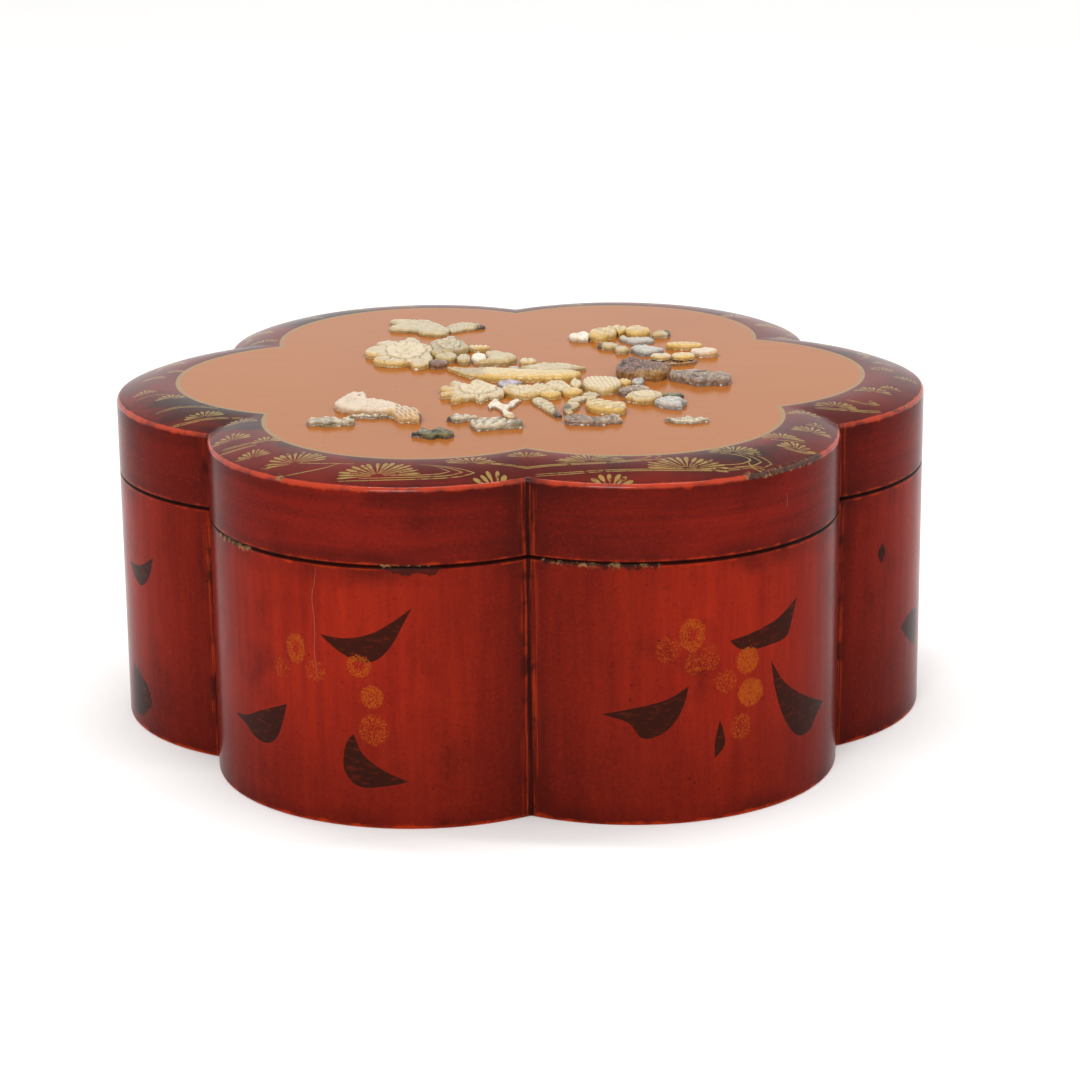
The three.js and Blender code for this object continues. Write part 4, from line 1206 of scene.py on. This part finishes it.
def worn_lacquer(m, streaks, dull, bright):
    """Red lacquer with patina, brush streaks, worn arrises, darker patches near the valleys, and
    painted shade towards the bottom, the lobes' sides, the arrises, the valleys and the seam:
    colour and roughness.
    """
    broad = m.noise(8.0, detail=5.0)
    clouded = m.noise(26.0, detail=5.0, roughness=0.6)
    brushed = m.noise(1.0, m.unrolled(*streaks), 7.0, 0.66)
    fine = m.noise(700.0, detail=3.0)
    red = m.mix(m.step(brushed, 0.22, 0.78), colour(dull), colour(bright))
    # Painted shade towards each lobe's sides, where the wall turns away from the light, in broad
    # patches.
    turned_away_shade = m.math("ADD", m.value("side"), m.times(m.math("SUBTRACT", broad, 0.5), 0.9))
    red = m.tint(red, m.step(turned_away_shade, 0.2, 1.0), 0.6, "#3c0c07")
    # Painted shade: darker towards the bottom of the walls, in clouded patches.
    low = m.math("ADD", m.value("v"), m.times(m.math("SUBTRACT", clouded, 0.5), 0.5))
    red = m.tint(red, m.step(low, 0.62, 0.1), 0.5, "#400d07")
    red = m.tint(red, m.step(clouded, 0.52, 0.75), 0.5, "#300a06")
    red = m.tint(red, m.step(fine, 0.48, 0.75), 0.2, "#84200b")
    red = m.tint(red, m.step(fine, 0.44, 0.3), 0.25, "#360b06")

    ragged = m.math("ADD", m.value("arris"), m.times(m.noise(170.0, detail=5.0), 0.34))
    worn = m.step(ragged, 0.32, 0.16)
    shaded = m.times(m.step(m.value("arris"), 0.95, 0.1), m.step(clouded, 0.36, 0.6))
    red = m.tint(red, shaded, 0.55, "#340c08")
    red = m.tint(red, worn, 0.8, "#a5300b")

    beside = m.value("valley")
    streaked = m.noise(1.0, m.unrolled(90.0, 3.0), 5.0, 0.6)
    shade = m.times(m.step(beside, 1.0, 0.3), m.step(clouded, 0.3, 0.65))
    red = m.tint(red, shade, 0.45, "#360d08")
    flank = m.times(m.step(beside, 0.45, 0.1), m.step(streaked, 0.45, 0.62))
    red = m.tint(red, flank, 0.7, "#8c2b0e")
    # Darker in patches close to the valleys.
    near_valley_dark = m.times(m.step(beside, 0.5, 0.12), m.step(m.noise(55.0, detail=5.0), 0.5, 0.6))
    red = m.tint(red, near_valley_dark, 0.8, "#2a0a07")
    # Painted shade in the valley crease itself.
    groove = m.step(m.math("ADD", beside, m.times(streaked, 0.08)), 0.13, 0.07)
    red = m.tint(red, groove, 0.88, "#1c0705")
    # Painted shade in the seam between lid and body.
    red = m.tint(red, m.step(m.value("seam"), 0.62, 0.78), 0.95, "#0f0404")

    dots = m.times(m.specks(210.0, 0.05, 0.14), m.step(m.noise(34.0), 0.48, 0.66))
    red = m.tint(red, dots, 0.7, "#220705")
    torn = m.noise(220.0, detail=7.0, roughness=0.75)
    dark = m.step(m.math("ADD", m.value("dark"), m.times(torn, 1.6)), 1.16, 1.26)
    pale = m.step(m.math("SUBTRACT", m.value("pale"), m.times(torn, 1.6)), -0.36, -0.26)
    bared = m.mix(m.step(m.noise(420.0, detail=4.0), 0.38, 0.6), colour("#3a2114"),
                  colour("#80613f"))
    red = m.mix(m.times(pale, 0.75), red, bared)
    red = m.tint(red, dark, 0.8, "#21110e")

    rough = m.math("ADD", 0.13, m.times(m.noise(60.0), 0.14))
    rough = m.math("ADD", rough, m.times(pale, 0.3))
    return red, rough, brushed, fine


def add_wall_paint(m, red):
    """Dark leaves, stippled gold berries and pale hairline cracks."""
    strokes = m.noise(1.0, m.unrolled(18.0, 60.0), 5.0, 0.65, 0.4)
    leaf = m.mix(m.step(strokes, 0.5, 0.75), colour("#220f09"), colour("#4b180c"))
    red = m.mix(m.times(m.value("leaf"), 0.94), red, leaf)
    stipple = m.noise(1500.0, detail=2.0, roughness=0.7)
    strength = m.times(m.value("berry"), 0.6)
    dotted = m.step(m.math("ADD", strength, m.times(stipple, 1.7)), 1.28, 1.5)
    gold = m.mix(m.noise(300.0), colour("#98490f"), colour("#7a2c0b"))
    shown = m.times(dotted, m.step(m.value("berry"), 0.05, 0.4))
    red = m.mix(m.times(shown, 0.85), red, gold)
    return m.tint(red, m.value("crack"), 0.5, "#7c6458")


def lacquer_relief(m, brushed, fine):
    return m.bump(fine, 0.08, 0.0003, m.bump(brushed, 0.1, 0.0005))


def body_material():
    m = Material("body_lacquer", IOR=WALL_IOR)
    red, rough, brushed, fine = worn_lacquer(m, (16.0, 1.4), "#6d160d", "#86200f")
    red = add_wall_paint(m, red)
    return m.finish(Base_Color=red, Roughness=rough, Normal=lacquer_relief(m, brushed, fine))


def lid_wall_material():
    m = Material("lid_wall_lacquer", IOR=WALL_IOR)
    red, rough, brushed, fine = worn_lacquer(m, (1.4, 26.0), "#57130d", "#6d170e")
    red = add_wall_paint(m, red)
    return m.finish(Base_Color=red, Roughness=rough, Normal=lacquer_relief(m, brushed, fine))


def lid_top_material(name, **gloss):
    m = Material(name, **gloss)
    red, rough, brushed, fine = worn_lacquer(m, (1.4, 26.0), "#57130d", "#6d170e")

    cloud = m.noise(17.0, detail=5.0, distortion=0.6)
    maroon = m.mix(m.step(m.noise(40.0, detail=5.0), 0.35, 0.65), colour("#46100b"),
                   colour("#5f160c"))
    maroon = m.tint(maroon, m.step(cloud, 0.53, 0.66), 0.8, "#1a1411")
    ground = m.mix(m.times(m.value("border"), m.step(m.value("arris"), 0.06, 0.3)), red, maroon)
    flecks = m.noise(300.0, detail=4.0, roughness=0.7)
    kept = m.times(m.value("gold"), m.step(flecks, 0.32, 0.5))
    ground = m.tint(ground, kept, 0.85, "#8a7440")
    ground = m.mix(m.value("line"), ground, m.mix(flecks, colour("#7c5c34"), colour("#8f6f44")))

    brushed_tan = m.noise(1.0, m.unrolled(2.4, 40.0), 6.0, 0.62)
    tan = m.mix(m.step(brushed_tan, 0.2, 0.8), colour("#925420"), colour("#985923"))
    tan = m.tint(tan, m.step(m.noise(12.0), 0.45, 0.75), 0.3, "#884d1e")
    tan = m.tint(tan, m.specks(90.0, 0.025, 0.07), 0.5, "#3e1f0e")
    # Painted shade in orange round the foot of each onlay on the panel.
    foot_shade = m.step(m.math("SUBTRACT", m.value("glue"), m.times(flecks, 0.3)), 0.42, 0.85)
    tan = m.tint(tan, foot_shade, 0.7, "#773507")
    ground = m.mix(m.value("panel"), ground, tan)

    rough = m.times(rough, m.math("SUBTRACT", 1.0, m.times(m.value("panel"), 0.3)))
    return m.finish(Base_Color=ground, Roughness=rough, Normal=lacquer_relief(m, brushed, fine))


# Shell and stone: face, second colour, wall towards the base, and a dark for mottling, stone bands
# and patches low on the wall, also used as painted shade in the carving.
TONES = {
    "cream": ("#b8a685", "#b4955a", "#9f7b3a", "#6b5536"),
    "yellow": ("#b7a277", "#b8954e", "#a67a30", "#6a5028"),
    "pearl": ("#a99a7b", "#a48a58", "#8a7040", "#5c5039"),
    "white": ("#cbc0ad", "#b59c74", "#96795a", "#6a5844"),
    "pink": ("#bba78f", "#b8966a", "#a3763f", "#75594a"),
    "grey": ("#b5a68d", "#7a7052", "#7a6b52", "#3c332a"),
    "blue": ("#a39d92", "#87847b", "#726c64", "#3f3e3c"),
    "lavender": ("#a59c9f", "#827982", "#6e666a", "#4a4448"),
    "mauve": ("#87705f", "#a5927c", "#6a5343", "#30241f"),
    "purple": ("#6e4c3b", "#93682f", "#784c20", "#2a1a15"),
    "olive": ("#69633f", "#423e2c", "#2a2822", "#171510"),
}
STONES = ("grey", "mauve", "purple", "olive")


def shell_material(tone):
    face, second, wall, dirt_and_shade = [colour(code) for code in TONES[tone]]
    m = Material("onlay_" + tone, Specular_IOR_Level=0.5, Coat_Weight=0.15, Coat_Roughness=0.12,
                 Subsurface_Weight=0.08, Subsurface_Radius=(0.0012, 0.0009, 0.0006),
                 Subsurface_Scale=1.0)
    mottled = m.noise(320.0, detail=5.0)
    broad = m.noise(110.0, detail=4.0)
    uneven = m.math("SUBTRACT", broad, 0.5)
    body = m.mix(m.step(m.math("ADD", m.value("tint"), uneven), 0.4, 1.0), face, second)
    body = m.mix(m.times(m.step(mottled, 0.52, 0.75), 0.28), body, dirt_and_shade)
    if tone in STONES:
        banded = m.noise(150.0, detail=6.0, roughness=0.7, distortion=1.5)
        body = m.mix(m.times(m.step(banded, 0.5, 0.62), 0.6), body, dirt_and_shade)
        body = m.tint(body, m.step(banded, 0.42, 0.32), 0.6, "#b5ab98")
    sheen = m.mix(m.noise(90.0, detail=1.0), colour("#e6c9cf"), colour("#c6dccb"))
    body = m.mix(0.12, body, sheen, "SOFT_LIGHT")
    low = m.math("ADD", m.value("wall"), m.times(uneven, 0.9))
    body = m.mix(m.step(low, 0.3, 0.8), body, wall)
    # Darker in mottled patches low on the wall.
    body = m.mix(m.times(m.step(m.times(low, m.step(mottled, 0.45, 0.6)), 0.5, 0.9), 0.5), body,
                 dirt_and_shade)
    # Painted shade in the carved grooves.
    body = m.mix(m.times(m.step(m.value("carve"), 0.2, 1.0), 0.45), body, dirt_and_shade)
    body = m.tint(body, m.step(m.value("ink"), 0.2, 0.7), 0.85, "#231b14")
    # Painted glints: white spots low on the walls.
    glue = m.times(m.step(m.value("wall"), 0.4, 0.9), m.step(m.noise(420.0), 0.58, 0.66))
    body = m.tint(body, glue, 0.85, "#d9d4c8")
    rough = m.math("ADD", 0.24, m.times(mottled, 0.2))
    return m.finish(Base_Color=body, Roughness=rough, Normal=m.bump(mottled, 0.4, 0.0004))


OUTLINES = {name: cad_outline(name) for name in ONLAYS}
LOOPS = {name: cut_loop(name, outline, base, edge)
         for name, (outline, base, edge, _) in OUTLINES.items()}

make_piece("box_body_looks", box_body_patches(), [body_material()], "box_body")
make_piece("lid_looks", lid_patches(list(LOOPS.values())),
           [lid_wall_material(), lid_top_material("lid_top_lacquer", IOR=TOP_IOR),
            lid_top_material("lid_edge_lacquer", IOR=1.2, Coat_Weight=0.25, Coat_Roughness=0.05)],
           "lid")
shells = {tone: shell_material(tone) for tone in TONES}
for name, (tone, carve, tint_axis) in ONLAYS.items():
    _, base, edge, top = OUTLINES[name]
    patches = onlay_patches(name, LOOPS[name], base, edge, top, carve, tint_axis)
    make_piece(name + "_looks", patches, [shells[tone]], name)


def pale_floor():
    mesh = bpy.data.meshes.new("floor")
    size = 12
    mesh.from_pydata([(-size, -size, 0), (size, -size, 0), (size, size, 0), (-size, size, 0)],
                     [], [(0, 1, 2, 3)])
    m = Material("floor", Roughness=0.9, Specular_IOR_Level=0.1)
    mesh.materials.append(m.finish(
        Base_Color=m.mix(m.noise(3.0), colour("#eeedeb"), colour("#f1f0ef"))))
    floor = bpy.data.objects.new("floor", mesh)
    bpy.context.scene.collection.objects.link(floor)


def soft_light(name, location, target, size, power):
    light = bpy.data.lights.new(name, "AREA")
    light.shape = "RECTANGLE"
    light.size, light.size_y = size
    light.energy = power
    lamp = bpy.data.objects.new(name, light)
    lamp.location = location
    lamp.rotation_mode = "QUATERNION"
    lamp.rotation_quaternion = (Vector(target) - Vector(location)).to_track_quat("-Z", "Y")
    bpy.context.scene.collection.objects.link(lamp)


def studio():
    world = bpy.data.worlds.new("studio")
    world.use_nodes = True
    background = world.node_tree.nodes["Background"]
    background.inputs["Color"].default_value = (1.0, 1.0, 1.0, 1.0)
    background.inputs["Strength"].default_value = 1.1
    scene = bpy.context.scene
    scene.world = world
    scene.view_settings.view_transform = "Standard"
    centre = (0, 0, 0.07)
    soft_light("overhead", (0.02, 0.1, 1.5), centre, (1.1, 0.07), 9)
    soft_light("front_left", (-0.45, -2.05, 0.85), centre, (0.9, 0.9), 22)
    soft_light("front_right", (1.6, -1.0, 1.2), centre, (0.8, 0.8), 2)


def add_camera():
    camera = bpy.data.cameras.new("camera")
    camera.lens = CAMERA_LENS
    camera.sensor_width = SENSOR_WIDTH
    camera.clip_end = 50
    right, up, back = camera_axes()
    place = (CAMERA_TARGET + back * CAMERA_DISTANCE) * MILLIMETRE
    holder = bpy.data.objects.new("camera", camera)
    holder.matrix_world = (Matrix.Translation(place)
                           @ Matrix((right, up, back)).transposed().to_4x4())
    bpy.context.scene.collection.objects.link(holder)
    bpy.context.scene.camera = holder


pale_floor()
studio()
add_camera()
